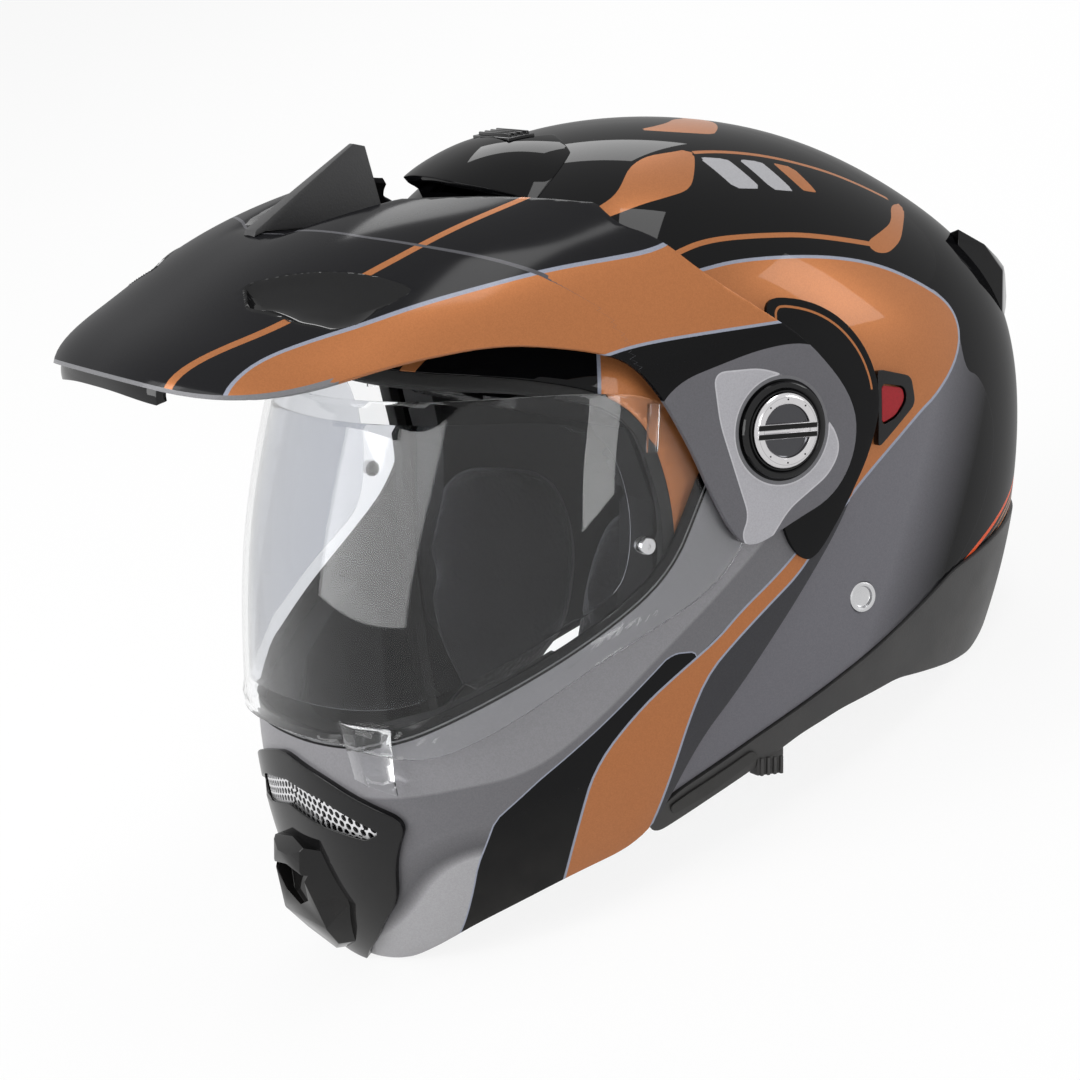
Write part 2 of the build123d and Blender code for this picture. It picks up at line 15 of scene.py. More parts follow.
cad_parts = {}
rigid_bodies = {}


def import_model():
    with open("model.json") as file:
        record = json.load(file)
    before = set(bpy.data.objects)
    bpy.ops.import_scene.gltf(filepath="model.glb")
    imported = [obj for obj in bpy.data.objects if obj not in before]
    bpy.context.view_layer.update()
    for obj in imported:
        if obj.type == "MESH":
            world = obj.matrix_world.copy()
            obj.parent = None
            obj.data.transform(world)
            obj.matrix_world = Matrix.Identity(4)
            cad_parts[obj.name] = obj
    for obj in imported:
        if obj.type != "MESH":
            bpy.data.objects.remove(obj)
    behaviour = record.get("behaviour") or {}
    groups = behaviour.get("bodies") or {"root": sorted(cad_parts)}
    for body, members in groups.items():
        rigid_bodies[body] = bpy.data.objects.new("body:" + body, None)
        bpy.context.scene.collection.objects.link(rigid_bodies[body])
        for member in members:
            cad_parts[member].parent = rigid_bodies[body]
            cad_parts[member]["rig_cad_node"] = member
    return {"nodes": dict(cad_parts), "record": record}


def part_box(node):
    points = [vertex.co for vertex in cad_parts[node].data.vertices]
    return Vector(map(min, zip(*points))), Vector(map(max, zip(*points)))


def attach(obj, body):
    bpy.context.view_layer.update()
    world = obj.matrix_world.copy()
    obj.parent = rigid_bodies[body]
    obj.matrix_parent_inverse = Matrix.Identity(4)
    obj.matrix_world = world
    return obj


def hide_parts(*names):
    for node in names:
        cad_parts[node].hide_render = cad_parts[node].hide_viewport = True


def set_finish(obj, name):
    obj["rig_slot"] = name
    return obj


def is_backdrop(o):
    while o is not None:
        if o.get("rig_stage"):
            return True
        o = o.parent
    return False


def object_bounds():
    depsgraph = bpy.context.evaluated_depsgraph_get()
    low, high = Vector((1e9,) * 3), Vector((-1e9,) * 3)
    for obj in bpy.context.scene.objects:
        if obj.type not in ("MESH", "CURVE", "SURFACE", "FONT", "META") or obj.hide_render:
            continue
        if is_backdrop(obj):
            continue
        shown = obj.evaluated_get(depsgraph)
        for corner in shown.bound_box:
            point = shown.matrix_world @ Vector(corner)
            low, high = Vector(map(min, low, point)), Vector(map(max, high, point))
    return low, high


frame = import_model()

cad_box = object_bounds()
print("box of the frame:", [round(v, 4) for corner in cad_box for v in corner])

# %% [markdown]
# A helmet is easiest to describe as it is drawn: from the side, about the line that the chin bar turns on.
# A drawn point is (left, forward, up) in millimetres, nose down by 24 degrees, as the helmet hangs on a
# stand. One function turns such points nose up and into metres, so each shape below can be read off a side
# view.

# %% The drawn frame
nose_down = radians(24)
pin_low, pin_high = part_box("hinge_bases")
pivot = np.array((pin_low + pin_high) / 2)


def placed(points):
    """Frame points from drawn ones: nose up by 24 degrees, then over to the middle of the hinge line."""
    left, forward, up = np.asarray(points, float).reshape(-1, 3).T
    back = up * np.sin(nose_down) - forward * np.cos(nose_down)
    high = up * np.cos(nose_down) + forward * np.sin(nose_down)
    return np.column_stack([left, back, high]) / 1000 + pivot


def drawn(points):
    """The way back: (left, forward, up) in millimetres from frame points in metres."""
    left, back, high = ((np.asarray(points, float).reshape(-1, 3) - pivot) * 1000).T
    forward = high * np.sin(nose_down) - back * np.cos(nose_down)
    up = high * np.cos(nose_down) + back * np.sin(nose_down)
    return np.column_stack([left, forward, up])


print("the hinge line is at", pivot.round(4))

# %% [markdown]
# The photograph was taken with a long lens from the front left, a little above the hinge line. The camera
# is placed in the drawn frame and turned with the helmet, so the helmet lies in the picture as it does there.
# Its shift only moves the frame, because the hinge line isn't in the middle of the picture.

# %% The camera
def linked(name, data):
    """New object for some data, in the scene's collection."""
    thing = bpy.data.objects.new(name, data)
    bpy.context.scene.collection.objects.link(thing)
    return thing


camera_turn, camera_rise = radians(60), radians(7)
camera_distance = 1400
focal_pixels = 3430
picture = 1080
hinge_pixel = (612.8, 394.1)
camera_back = np.array([np.sin(camera_turn) * np.cos(camera_rise), np.cos(camera_turn) * np.cos(camera_rise),
                        np.sin(camera_rise)])
camera_right = np.array([np.cos(camera_turn), -np.sin(camera_turn), 0])
camera_place = placed(camera_back * camera_distance)[0]
back_axis = placed(camera_back * 1000)[0] - pivot
right_axis = placed(camera_right * 1000)[0] - pivot
camera_data = bpy.data.cameras.new("camera")
camera = linked("camera", camera_data)
axes = Matrix((right_axis, np.cross(back_axis, right_axis), back_axis)).transposed()
camera.matrix_world = Matrix.Translation(camera_place) @ axes.to_4x4()
camera_data.sensor_width = 36
camera_data.lens = camera_data.sensor_width * focal_pixels / picture
camera_data.shift_x = (picture / 2 - hinge_pixel[0]) / picture
camera_data.shift_y = (hinge_pixel[1] - picture / 2) / picture
bpy.context.scene.camera = camera
print("lens", round(camera_data.lens, 1), "mm, camera at", camera_place.round(3))

# %% [markdown]
# The big skins of a helmet are nested eggs. Each is a closed side line that gets smaller towards the two
# sides, and its ends are cut flat under the pivots. The side line is a spline through a dozen points whose
# slope and bend agree where its pieces meet. Solving for all the slopes at once gives the fairest line
# through them.

# %% Side lines and skins
cap_angle = 81
round_bulge, square_bulge = 2.2, 2.8


def side_spline(corners):
    """Closed cubic line by chord length: its slopes solve m0/h + 2m(1/h + 1/k) + m1/k = 3(d/h^2 + e/k^2)."""
    spots = np.array(corners, float)
    leaps = np.roll(spots, -1, axis=0) - spots
    steps = np.hypot(*leaps.T)
    count = len(spots)
    here, after = np.arange(count), (np.arange(count) + 1) % count
    before = here - 1
    rule = np.zeros((count, count))
    rule[here, before] = 1 / steps[before]
    rule[here, after] += 1 / steps
    rule[here, here] = 2 / steps[before] + 2 / steps
    pull = 3 * (leaps[before] / steps[before, None] ** 2 + leaps / steps[:, None] ** 2)
    slopes = np.linalg.solve(rule, pull)
    knots = np.append(0, np.cumsum(steps))

    def line(share):
        along = np.mod(share, 1) * knots[-1]
        piece = np.clip(np.searchsorted(knots, along, "right") - 1, 0, count - 1)
        step = steps[piece]
        ahead = ((along - knots[piece]) / step)[:, None]
        start, end = spots[piece], spots[after[piece]]
        rise, fall = slopes[piece] * step[:, None], slopes[after[piece]] * step[:, None]
        return (start * (2 * ahead ** 3 - 3 * ahead ** 2 + 1) + rise * (ahead ** 3 - 2 * ahead ** 2 + ahead)
                + end * (3 * ahead ** 2 - 2 * ahead ** 3) + fall * (ahead ** 3 - ahead ** 2))
    return line


def skin(line, half, inset=0, bulge=round_bulge):
    """Sampler of a nested egg: left = half sin(turn)^(2/bulge), and the side line times cos(turn)^(2/bulge).

    An inset makes the half width smaller and draws the line in. A sink adds to it point by point.
    """
    spline = side_spline(line)

    def sample(shares, sink=0.0):
        along, turn = shares.T
        reach = inset + sink
        angle = np.radians(np.minimum(np.abs(turn), cap_angle))
        left = np.sign(turn) * (half - reach) * np.sin(angle) ** (2 / bulge)
        size = np.cos(angle) ** (2 / bulge) * np.clip((90 - np.abs(turn)) / (90 - cap_angle), 0, 1)
        flat = spline(along)
        size = size * (1 - reach / np.hypot(*flat.T))
        return np.column_stack([left, flat * size[:, None]])
    return sample


shell_half, arm_reach, arm_wall, shell_wall = 117.5, 1.6, 2.8, 3.6
layer_gap, visor_wall, peak_wall = 1.0, 2.2, 2.6
chin_half = shell_half + arm_reach + arm_wall
visor_half = chin_half + layer_gap + visor_wall
peak_half = visor_half + layer_gap + peak_wall
shell_line = [(127, 2), (98, 58), (60, 95), (0, 112), (-66, 106), (-122, 82), (-166, 44), (-180, -18),
              (-171, -80), (-140, -150), (-60, -225), (50, -225), (115, -175), (135, -90)]
chin_line = [(138, 0), (108, 76), (0, 150), (-130, 130), (-200, 0), (-180, -90), (-62, -234), (54, -242),
             (114, -218), (141, -166), (146, -140), (147, -118), (144, -58)]
visor_line = [(139, 10), (116, 72), (0, 126), (-110, 98), (-188, 0), (-172, -120), (-60, -250), (64, -252),
              (126, -206), (150, -155), (152.5, -127), (152, -60)]
peak_line = [(227, 23), (204, 44), (172, 65), (128, 84), (88, 95), (48, 106), (-30, 116), (-110, 94),
             (-167, 0), (-152, -112), (0, -192), (120, -122), (200, -20)]
print("half widths of shell, chin bar, visor and peak:", shell_half, chin_half, visor_half, peak_half)

# %% [markdown]
# Each piece is a patch of such a skin with a shaped edge. A cutter would leave ragged triangles there, so the
# patch is trimmed in the grid itself. A measure is below zero inside the piece, and where its sign changes
# along a grid edge, the edge is split just there. Grid points that lie very near the rim are moved onto it.

# %% Measures in the side, front and plan views
corner_points, block_size = 7, 8000


def eased(corners, reach=14):
    """The outline with each corner rounded by a short parabola that starts up to a reach before it."""
    spots = np.array(corners, float)
    before, after = np.roll(spots, 1, axis=0) - spots, np.roll(spots, -1, axis=0) - spots
    shorts = [np.minimum(0.5, reach / np.hypot(*leg.T))[:, None] for leg in (before, after)]
    start, end = spots + before * shorts[0], spots + after * shorts[1]
    ahead = np.linspace(0, 1, corner_points)[None, :, None]
    bend = (start[:, None] * (1 - ahead) ** 2 + 2 * spots[:, None] * ahead * (1 - ahead)
            + end[:, None] * ahead ** 2)
    return bend.reshape(-1, 2)


def measure(flat, outline):
    """Signed distance to a closed outline: to its nearest edge, below zero where a ray crosses it oddly."""
    result = np.empty(len(flat))
    spots = np.asarray(outline, float)
    legs = np.roll(spots, -1, axis=0) - spots
    long = np.maximum((legs ** 2).sum(1), 1e-9)
    for block in np.array_split(np.arange(len(flat)), max(1, len(flat) // block_size)):
        apart = flat[block, None] - spots[None]
        share = np.clip((apart * legs).sum(2) / long, 0, 1)
        near = np.hypot(*np.moveaxis(apart - share[..., None] * legs, 2, 0)).min(1)
        above = apart[..., 1] >= 0
        crosses = above != np.roll(above, -1, axis=1)
        turn = legs[:, 0] * apart[..., 1] - legs[:, 1] * apart[..., 0]
        odd = (crosses & ((turn > 0) != (legs[:, 1] > 0))).sum(1) % 2
        result[block] = np.where(odd, -near, near)
    return result


def side(outline, reach=14, grow=0):
    """Distance outside an outline drawn in the side view, less what it has grown."""
    shape = eased(outline, reach)
    return lambda spots: measure(spots[:, 1:], shape) - grow


def mirrored(half_outline):
    """A half outline from its middle round to its middle, with the other half."""
    return half_outline + [(-left, along) for left, along in reversed(half_outline) if left]


def front(outline, reach=6, grow=0, near=80):
    """Distance outside an outline drawn from the front, and outside all that lies further back than near."""
    shape = eased(outline, reach)
    return lambda spots: np.maximum(measure(spots[:, [0, 2]], shape) - grow, near - spots[:, 1])


def plan(outline, reach=8, grow=0, low=0):
    """Distance outside an outline drawn from above, and outside all that lies below low."""
    shape = eased(outline, reach)
    return lambda spots: np.maximum(measure(spots[:, :2], shape) - grow, low - spots[:, 2])


def both(*shapes):
    """What lies in every shape: the largest of their distances."""
    return lambda spots: np.max([shape(spots) for shape in shapes], axis=0)


def either(*shapes):
    """What lies in any of the shapes: the smallest of their distances."""
    return lambda spots: np.min([shape(spots) for shape in shapes], axis=0)


def outside(shape):
    """What a shape leaves out: its distance with the other sign."""
    return lambda spots: -shape(spots)


def disc(place, radius):
    """Distance from a bar across the helmet at a (forward, up) place, less its radius."""
    return lambda spots: np.hypot(spots[:, 1] - place[0], spots[:, 2] - place[1]) - radius


def on_left(least=20):
    """What lies on the wearer's left, more than a least distance from the middle."""
    return lambda spots: least - spots[:, 0]


def egg(line, half, inset=0, bulge=round_bulge):
    """Rough distance outside a skin: ((left/half)^bulge + (reach/line)^bulge)^(1/bulge) - 1, times reach."""
    points = side_spline(line)(np.linspace(0, 1, 720, endpoint=False))
    turns = np.arctan2(points[:, 1], points[:, 0]) % (2 * np.pi)
    order = np.argsort(turns)
    turns, reaches = turns[order], np.hypot(*points[order].T)

    def outside_by(spots):
        turn = np.arctan2(spots[:, 2], spots[:, 1]) % (2 * np.pi)
        full = np.interp(turn, turns, reaches, period=2 * np.pi) - inset
        share = np.abs(spots[:, 0]) / (half - inset)
        share = (share ** bulge + (np.hypot(spots[:, 1], spots[:, 2]) / full) ** bulge) ** (1 / bulge)
        return (share - 1) * np.linalg.norm(spots, axis=1)
    return outside_by


square = [(-10, -10), (10, -10), (10, 10), (-10, 10)]
print("in and beside a square of 20 mm:", measure(np.array([[0.0, 0.0], [15.0, 0.0]]), square))

# %% [markdown]
# Now the trimming itself. A grid of triangles is kept where the measure is below zero. Along its rim each cut
# triangle leaves a corner or a four-sided part, and the new points are found by halving the step they lie on.

# %% Trim a patch of a skin
halvings, snap_share, rim_reach = 12, 0.3, 6


def crossing(sample, cut, inner, outer):
    """Shares where the measure is zero between pairs of grid points, by halving the way between them."""
    for _ in range(halvings):
        middle = (inner + outer) / 2
        inside = (cut(sample(middle)) < 0)[:, None]
        inner, outer = np.where(inside, middle, inner), np.where(inside, outer, middle)
    return (inner + outer) / 2


def split(faces, signs, middle_of):
    """Triangles inside the rim: whole ones, and the inner corner or the inner four-sided part of cut ones."""
    kept = [faces[(signs[faces] <= 0).all(1) & (signs[faces] < 0).any(1)]]
    for roll in range(3):
        a, b, c = np.roll(faces, roll, axis=1).T
        one = (signs[a] > 0) & (signs[b] < 0) & (signs[c] < 0)
        start, end = middle_of(a[one], b[one]), middle_of(a[one], c[one])
        kept.append(np.column_stack([start, b[one], c[one]]))
        kept.append(np.column_stack([start, c[one], end]))
        two = (signs[a] < 0) & (signs[b] > 0) & (signs[c] > 0)
        kept.append(np.column_stack([a[two], middle_of(a[two], b[two]), middle_of(a[two], c[two])]))
        left = (signs[a] > 0) & (signs[b] < 0) & (signs[c] == 0)
        kept.append(np.column_stack([middle_of(a[left], b[left]), b[left], c[left]]))
        right = (signs[a] > 0) & (signs[b] == 0) & (signs[c] < 0)
        kept.append(np.column_stack([b[right], c[right], middle_of(a[right], c[right])]))
    return np.concatenate(kept)


def trimmed(sample, cut, along, across):
    """Points and triangles of the patch where the cut is below zero, on a grid of the given shares."""
    shares = np.stack(np.meshgrid(along, across, indexing="ij"), -1).reshape(-1, 2)
    index = np.arange(len(shares)).reshape(len(along), len(across))
    a, b, c, d = (cell.ravel() for cell in (index[:-1, :-1], index[1:, :-1], index[1:, 1:], index[:-1, 1:]))
    faces = np.concatenate([np.column_stack([a, b, c]), np.column_stack([a, c, d])])
    value = cut(sample(shares))
    faces = faces[(value[faces] < rim_reach).any(1)]
    edges = np.unique(np.sort(faces[:, [0, 1, 1, 2, 2, 0]].reshape(-1, 2), axis=1), axis=0)
    edges = edges[(value[edges[:, 0]] < 0) != (value[edges[:, 1]] < 0)]
    inner = np.where(value[edges[:, 0]] < 0, edges[:, 0], edges[:, 1])
    outer = edges.sum(1) - inner
    rim = crossing(sample, cut, shares[inner], shares[outer])
    ahead = np.abs(rim - shares[inner]).sum(1) / np.abs(shares[outer] - shares[inner]).sum(1)
    ends, near = np.concatenate([inner, outer]), np.concatenate([ahead, 1 - ahead])
    order = np.argsort(-near)
    order = order[near[order] < snap_share]
    shares[ends[order]] = np.concatenate([rim, rim])[order]
    signs = np.sign(value)
    signs[ends[order]] = 0
    live = (signs[inner] < 0) & (signs[outer] > 0)
    keys = edges[live, 0] * len(value) + edges[live, 1]
    ranked = np.sort(keys)
    shares = np.concatenate([shares, rim[live][np.argsort(keys)]])

    def middle_of(one, two):
        """Number of the new point on the edge between two points, found by the edge's key."""
        wanted = np.minimum(one, two) * len(value) + np.maximum(one, two)
        return len(value) + np.searchsorted(ranked, wanted)
    faces = split(faces, np.append(signs, np.zeros(len(ranked))), middle_of)
    used, faces = np.unique(faces, return_inverse=True)
    return sample(shares[used]), faces.reshape(-1, 3), shares[used]


print("at a rim a grid step is halved", halvings, "times")

# %% [markdown]
# A trimmed patch has no thickness yet. Solidify gives it its wall, inwards from the painted face, and a
# small Bevel rounds the rim, as a moulded edge is. The result is applied, so that later cells can measure
# its points. Every piece rides on a body, names its finish and hides the plain CAD node that it stands for.

# %% Make pieces
def new_piece(name, points, faces):
    """Mesh object in the frame from drawn points and faces, its doubles merged."""
    mesh = bpy.data.meshes.new(name)
    mesh.from_pydata(placed(points).tolist(), [], faces.tolist() if isinstance(faces, np.ndarray) else faces)
    solid = bmesh.new()
    solid.from_mesh(mesh)
    bmesh.ops.remove_doubles(solid, verts=solid.verts, dist=2e-6)
    bmesh.ops.dissolve_degenerate(solid, edges=solid.edges, dist=1e-6)
    solid.to_mesh(mesh)
    solid.free()
    return linked(name, mesh)


def read(items, key, width=3):
    """Array of one property of a mesh's points or faces, a row for each."""
    values = np.empty(len(items) * width)
    items.foreach_get(key, values)
    return values.reshape(-1, width)


def face_out(piece):
    """Turns an open patch so that its faces look away from the pivot."""
    faces = piece.data.polygons
    away = ((read(faces, "center") - pivot) * read(faces, "normal")).sum(1)
    if (away * read(faces, "area", 1)[:, 0]).sum() < 0:
        piece.data.flip_normals()


def closed(piece):
    """Points the faces of a closed piece outwards."""
    solid = bmesh.new()
    solid.from_mesh(piece.data)
    bmesh.ops.recalc_face_normals(solid, faces=solid.faces)
    solid.to_mesh(piece.data)
    solid.free()
    return piece


def applied(piece):
    """Bakes the modifiers into the mesh."""
    graph = bpy.context.evaluated_depsgraph_get()
    done = bpy.data.meshes.new_from_object(piece.evaluated_get(graph))
    piece.modifiers.clear()
    old = piece.data
    piece.data = done
    bpy.data.meshes.remove(old)
    return piece


def smooth(piece, angle=32):
    """Smooth shading that stays sharp at edges above an angle."""
    piece.data.shade_smooth()
    piece.data.set_sharp_from_angle(angle=radians(angle))
    return piece


def bevelled(piece, width, segments, angle):
    """Rounds the edges that turn by more than an angle, over a width in millimetres."""
    edge = piece.modifiers.new("bevel", "BEVEL")
    edge.width, edge.segments = width / 1000, segments
    edge.limit_method, edge.angle_limit = "ANGLE", radians(angle)
    return applied(piece)


def walled(piece, wall, rim=0.5, segments=2):
    """Gives a patch its wall, inwards, and a rounded rim."""
    face_out(piece)
    solid = piece.modifiers.new("wall", "SOLIDIFY")
    solid.thickness, solid.offset, solid.use_even_offset = wall / 1000, -1, False
    return smooth(bevelled(piece, rim, segments, 50) if rim else applied(piece))


def patch(name, sample, cut, shares, wall, rim, segments=2):
    """Walled piece: what a cut leaves of a skin, on a grid of shares."""
    points, faces, _ = trimmed(sample, cut, *shares)
    return walled(new_piece(name, points, faces), wall, rim, segments)


hands = ((1, "left"), (-1, "right"))


def pair(stem, points, faces):
    """A left piece and its mirror image for the right, each with the word of its side."""
    return [(new_piece(f"{stem}_{word}", points * (hand, 1, 1), faces), word) for hand, word in hands]


def settle(piece, body, finish, *nodes):
    """The piece rides on its body, names its finish and stands for its nodes."""
    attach(piece, body)
    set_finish(piece, finish)
    if nodes:
        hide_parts(*nodes)
    count = sum(len(face.vertices) - 2 for face in piece.data.polygons)
    print(f"{piece.name}: {count} triangles, rides on {body}")
    return piece


def grid(count_along, count_across, start=0.0):
    """Even shares round a whole skin from a start, and turns from side to side."""
    return start + np.linspace(0, 1, count_along + 1), np.linspace(-90, 90, count_across + 1)


def near_grid(sample, low, high, step):
    """Shares of a grid with about a step between its lines, over the part of a skin inside a drawn box."""
    fine, few = 400, 60
    rough = np.stack(np.meshgrid(np.arange(fine) / fine, np.linspace(-89.5, 89.5, 240), indexing="ij"), -1)
    rough = rough.reshape(-1, 2)
    spots = sample(rough)
    here = rough[((spots >= low) & (spots <= high)).all(1)]
    used = np.unique(here[:, 0])
    gaps = np.diff(np.append(used, used[0] + 1))
    widest = np.argmax(gaps)
    start = used[(widest + 1) % len(used)] - 1 / fine
    span = 1 - gaps[widest] + 2 / fine
    first, last = here[:, 1].min() - 0.8, here[:, 1].max() + 0.8
    lines = np.column_stack([start + span * np.linspace(0, 1, few), np.full(few, here[:, 1].mean())])
    wide = np.column_stack([np.full(few, here[:, 0].mean() if gaps[widest] > 0.4 else used[0]),
                            np.linspace(first, last, few)])
    long, broad = (np.linalg.norm(np.diff(sample(row), axis=0), axis=1).sum() for row in (lines, wide))
    return (start + span * np.linspace(0, 1, int(long / step) + 2),
            np.linspace(first, last, int(broad / step) + 2))


# %% [markdown]
# CAD solids that are blocks keep their shape and only need softer edges. A copy of the node is merged and its
# flat facets are joined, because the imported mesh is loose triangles, and a Bevel rounds what is sharp.

# %% Soften a CAD node
def softened(node, body, finish, width=0.6, segments=2, angle=30):
    """Copy of a node with merged points, joined flats and rounded edges."""
    mesh = frame["nodes"][node].data.copy()
    mesh.materials.clear()
    piece = linked(node + "_soft", mesh)
    solid = bmesh.new()
    solid.from_mesh(mesh)
    bmesh.ops.remove_doubles(solid, verts=solid.verts, dist=1e-5)
    bmesh.ops.dissolve_limit(solid, angle_limit=radians(1), verts=solid.verts, edges=solid.edges)
    solid.to_mesh(mesh)
    solid.free()
    return settle(smooth(bevelled(piece, width, segments, angle), angle), body, finish, node)


# %% [markdown]
# The shell is the biggest skin. Its side outline leaves out the eye port and the part below the edge trim.
# The grid starts under the helmet, where no shell is, so its seam never shows.

# %% Outer shell
opening_outline = [(200, 12), (88, 16), (56, 8), (44, -30), (44, -70), (38, -260), (200, -260)]
shell_outline = [(200, 200), (200, -160), (60, -168), (27, -141), (-4, -122), (-60, -92), (-103, -66),
                 (-160, -50), (-220, -40), (-220, 200)]
seal_width, seal_height = 5, 0.5
rivet_place, rivet_radius = (-49, -71), 6.2
duct = plan([(-20, 50), (20, 50), (20, 74), (-20, 74)], 3)
rivet_hole = both(disc(rivet_place, rivet_radius + 0.05), lambda spots: 80 - np.abs(spots[:, 0]))
shell_cut = both(side(shell_outline), outside(side(opening_outline, 18, seal_width)), outside(rivet_hole),
                 outside(duct))
shell = patch("shell_smooth", skin(shell_line, shell_half), shell_cut, grid(300, 120, 0.45), shell_wall, 0.5)
settle(shell, "helmet", "shell_paint", "outer_shell")

# %% [markdown]
# Rubber lines the eye port. It is the shell's skin again, a little larger, cut to the narrow band between
# the shell's edge and the port. Its wall is thicker than the shell's, so it stands out on both faces.

# %% Eye port seal
seal_outline = [(200, 60), (200, -30), (60, -168), (27, -140), (-4, -121), (-4, 60)]
seal_cut = both(side(opening_outline, 18, seal_width), outside(side(opening_outline, 14)), side(seal_outline))
seal_skin, seal_deeper = skin(shell_line, shell_half, -seal_height), 2.4
seal = patch("port_seal", seal_skin, seal_cut, grid(500, 200, 0.45), shell_wall + seal_deeper, 1.2, 3)
settle(seal, "helmet", "soft_black", "eye_port_seal")

# %% [markdown]
# The chin bar is a C-shaped shell of its own, which hides the front of the main shell when it is down. It
# could be a box with loops pulled to shape. Here it is one more nested skin, a little wider than the shell,
# so the gap between the two stays even at every angle of the hinge.

# %% Chin bar
rest_depth = 150


def rest_up(forward):
    """Height of the ground in the drawn side view."""
    return -(rest_depth + forward * np.sin(nose_down)) / np.cos(nose_down)


hinge_place, hinge_radius = (0, 0), 9
chin_outline = [(200, -121), (140, -120), (112, -100), (69, -70), (46, -50), (36, -26), (30, -12), (20, -4),
                (17, 10), (12, 30), (4, 42), (-8, 45), (-27, 42), (-42, 28), (-48, 8), (-44, -12), (-34, -36),
                (-18, -60), (12, -103),
                (25, -120), (41, -159), (72, -173), (97, -190), (107, -203), (113, rest_up(113)),
                (200, rest_up(200))]
mesh_front = [(0, -143), (26, -146), (53, -155), (46, -159), (22, -157), (0, -153)]
mouth_window = front(mirrored(mesh_front), 2)
pin_hole = disc(hinge_place, hinge_radius + 0.05)
chin_cut = both(side(chin_outline), outside(mouth_window), outside(pin_hole))
chin = patch("chin_bar_smooth", skin(chin_line, chin_half), chin_cut, grid(300, 130, 0.3), arm_wall, 0.6)
settle(chin, "chin_assembly", "chin_paint", "chin_bar")

# %% [markdown]
# The peak keeps sun and mud off the visor. It is a thin moulding with two arms that reach back to the pivots
# and a flat, creased top. Its skin is pressed down to the height of a folded sheet, and a square root rounds
# the crease where the two meet. Its grid has finer lines near the sides, where the arms end in tight curves.

# %% Peak
peak_outline = [(260, 24), (233, 24), (214, 18), (190, 20), (150, 32), (111, 38), (73, 33), (59, 25),
                (41, -2), (30, -24), (20, -40), (12, -44), (-6, -35), (-24, -27), (-34, -10), (-33, 10),
                (-12, 33), (7, 45), (30, 60), (44, 74), (60, 79), (60, 200), (260, 200)]
peak_back_plan = [(0, 104), (38, 118), (53, 106), (75, 80), (91, 58), (97, 30), (0, 30)]
wing_plan = [(43, 182), (57, 187), (78, 177), (88, 168), (92, 160), (94, 137)]
trough_low, trough_high = 73, 92
trough_flat, trough_wide = 20, 44
peak_egg = skin(peak_line, peak_half, 0, square_bulge)


def trough(left):
    """Greatest height of the peak: flat in the middle, up along two creases, then steeply out of the way."""
    away = np.abs(left)
    slope, free_slope = (trough_high - trough_low) / (trough_wide - trough_flat), 6
    return (trough_low + slope * np.maximum(away - trough_flat, 0)
            + free_slope * np.maximum(away - trough_wide, 0))


def peak_skin(shares, sink=0.0):
    """The peak's egg under the trough: the lower of two heights, (a + b - sqrt((a - b)^2 + fold^2)) / 2."""
    spots, fold = peak_egg(shares), 2
    high, most = spots[:, 2], trough(spots[:, 0]) - sink
    spots[:, 2] = (high + most - np.sqrt((high - most) ** 2 + fold ** 2)) / 2
    return spots


wing_window = plan(wing_plan, 3, 0, 36)


def wing_both(spots):
    """The wing's window and its mirror image."""
    return wing_window(np.column_stack([np.abs(spots[:, 0]), spots[:, 1:]]))


shaft_radius = 4
peak_cut = both(side(peak_outline, 16), outside(plan(mirrored(peak_back_plan), 10, 0, 36)),
                outside(wing_both), outside(disc(hinge_place, shaft_radius + 0.05)))
fine_turns = np.linspace(90, 80, 40)
peak_turns = np.concatenate([-fine_turns, np.linspace(-80, 80, 152)[1:-1], fine_turns[::-1]])
peak_grid = (0.5 + np.linspace(0, 1, 341), peak_turns)
peak = patch("peak_smooth", peak_skin, peak_cut, peak_grid, peak_wall, 0.6)
settle(peak, "chin_assembly", "peak_paint", "peak")

# %% [markdown]
# The visor is a clear moulded lens, stiffened by a rib that runs along its lower edge. The rib isn't a
# piece of its own: the skin stands out by a bell curve of the distance to that edge. A second, thinner lens
# behind it keeps it from misting, and two small pins hold that lens.

# %% Visor
visor_outline = [(200, 2), (118, 12), (82, 16), (52, 16), (38, 4), (30, -8), (22, -9), (13, -13),
                 (10, -22), (12, -38), (20, -52), (31, -62), (69, -84), (109, -114), (122, -122), (132, -124),
                 (144, -121), (200, -120)]
visor_hinge, fog_pin_place, fog_pin_radius = (22, -21), (54, -41), 3.4
visor_cut = both(side(visor_outline, 12), outside(disc(visor_hinge, shaft_radius + 0.05)),
                 outside(disc(fog_pin_place, fog_pin_radius + 0.05)))
visor_sheet = skin(visor_line, visor_half)


def ribbed(shares):
    """The visor stands out in a rounded rib inside its lower edge: height * exp(-(off / wide)^2)."""
    spots = visor_sheet(shares)
    height, inside, wide = 0.9, 6, 1.8
    low_down = np.clip((-spots[:, 2] - 50) / 20, 0, 1)
    rise = height * np.exp(-((visor_cut(spots) + inside) / wide) ** 2) * low_down
    return visor_sheet(shares, -rise)


visor = patch("visor_smooth", ribbed, visor_cut, grid(420, 130, 0.3), visor_wall, 0.6)
settle(visor, "visor_assembly", "clear", "visor")

fog_outline = [(200, -6), (116, 3), (84, 6), (66, 0), (58, -28), (60, -54), (70, -64), (86, -74), (112, -92),
               (136, -108), (200, -108)]
fog_gap, fog_wall = 0.6, 1.2
fog_cut = both(side(fog_outline, 16), outside(disc(fog_pin_place, fog_pin_radius + 0.05)))
fog_skin = skin(visor_line, visor_half, visor_wall + fog_gap)
fog = patch("fog_lens", fog_skin, fog_cut, grid(300, 130, 0.3), fog_wall, 0.3)
settle(fog, "visor_assembly", "clear", "fog_insert")

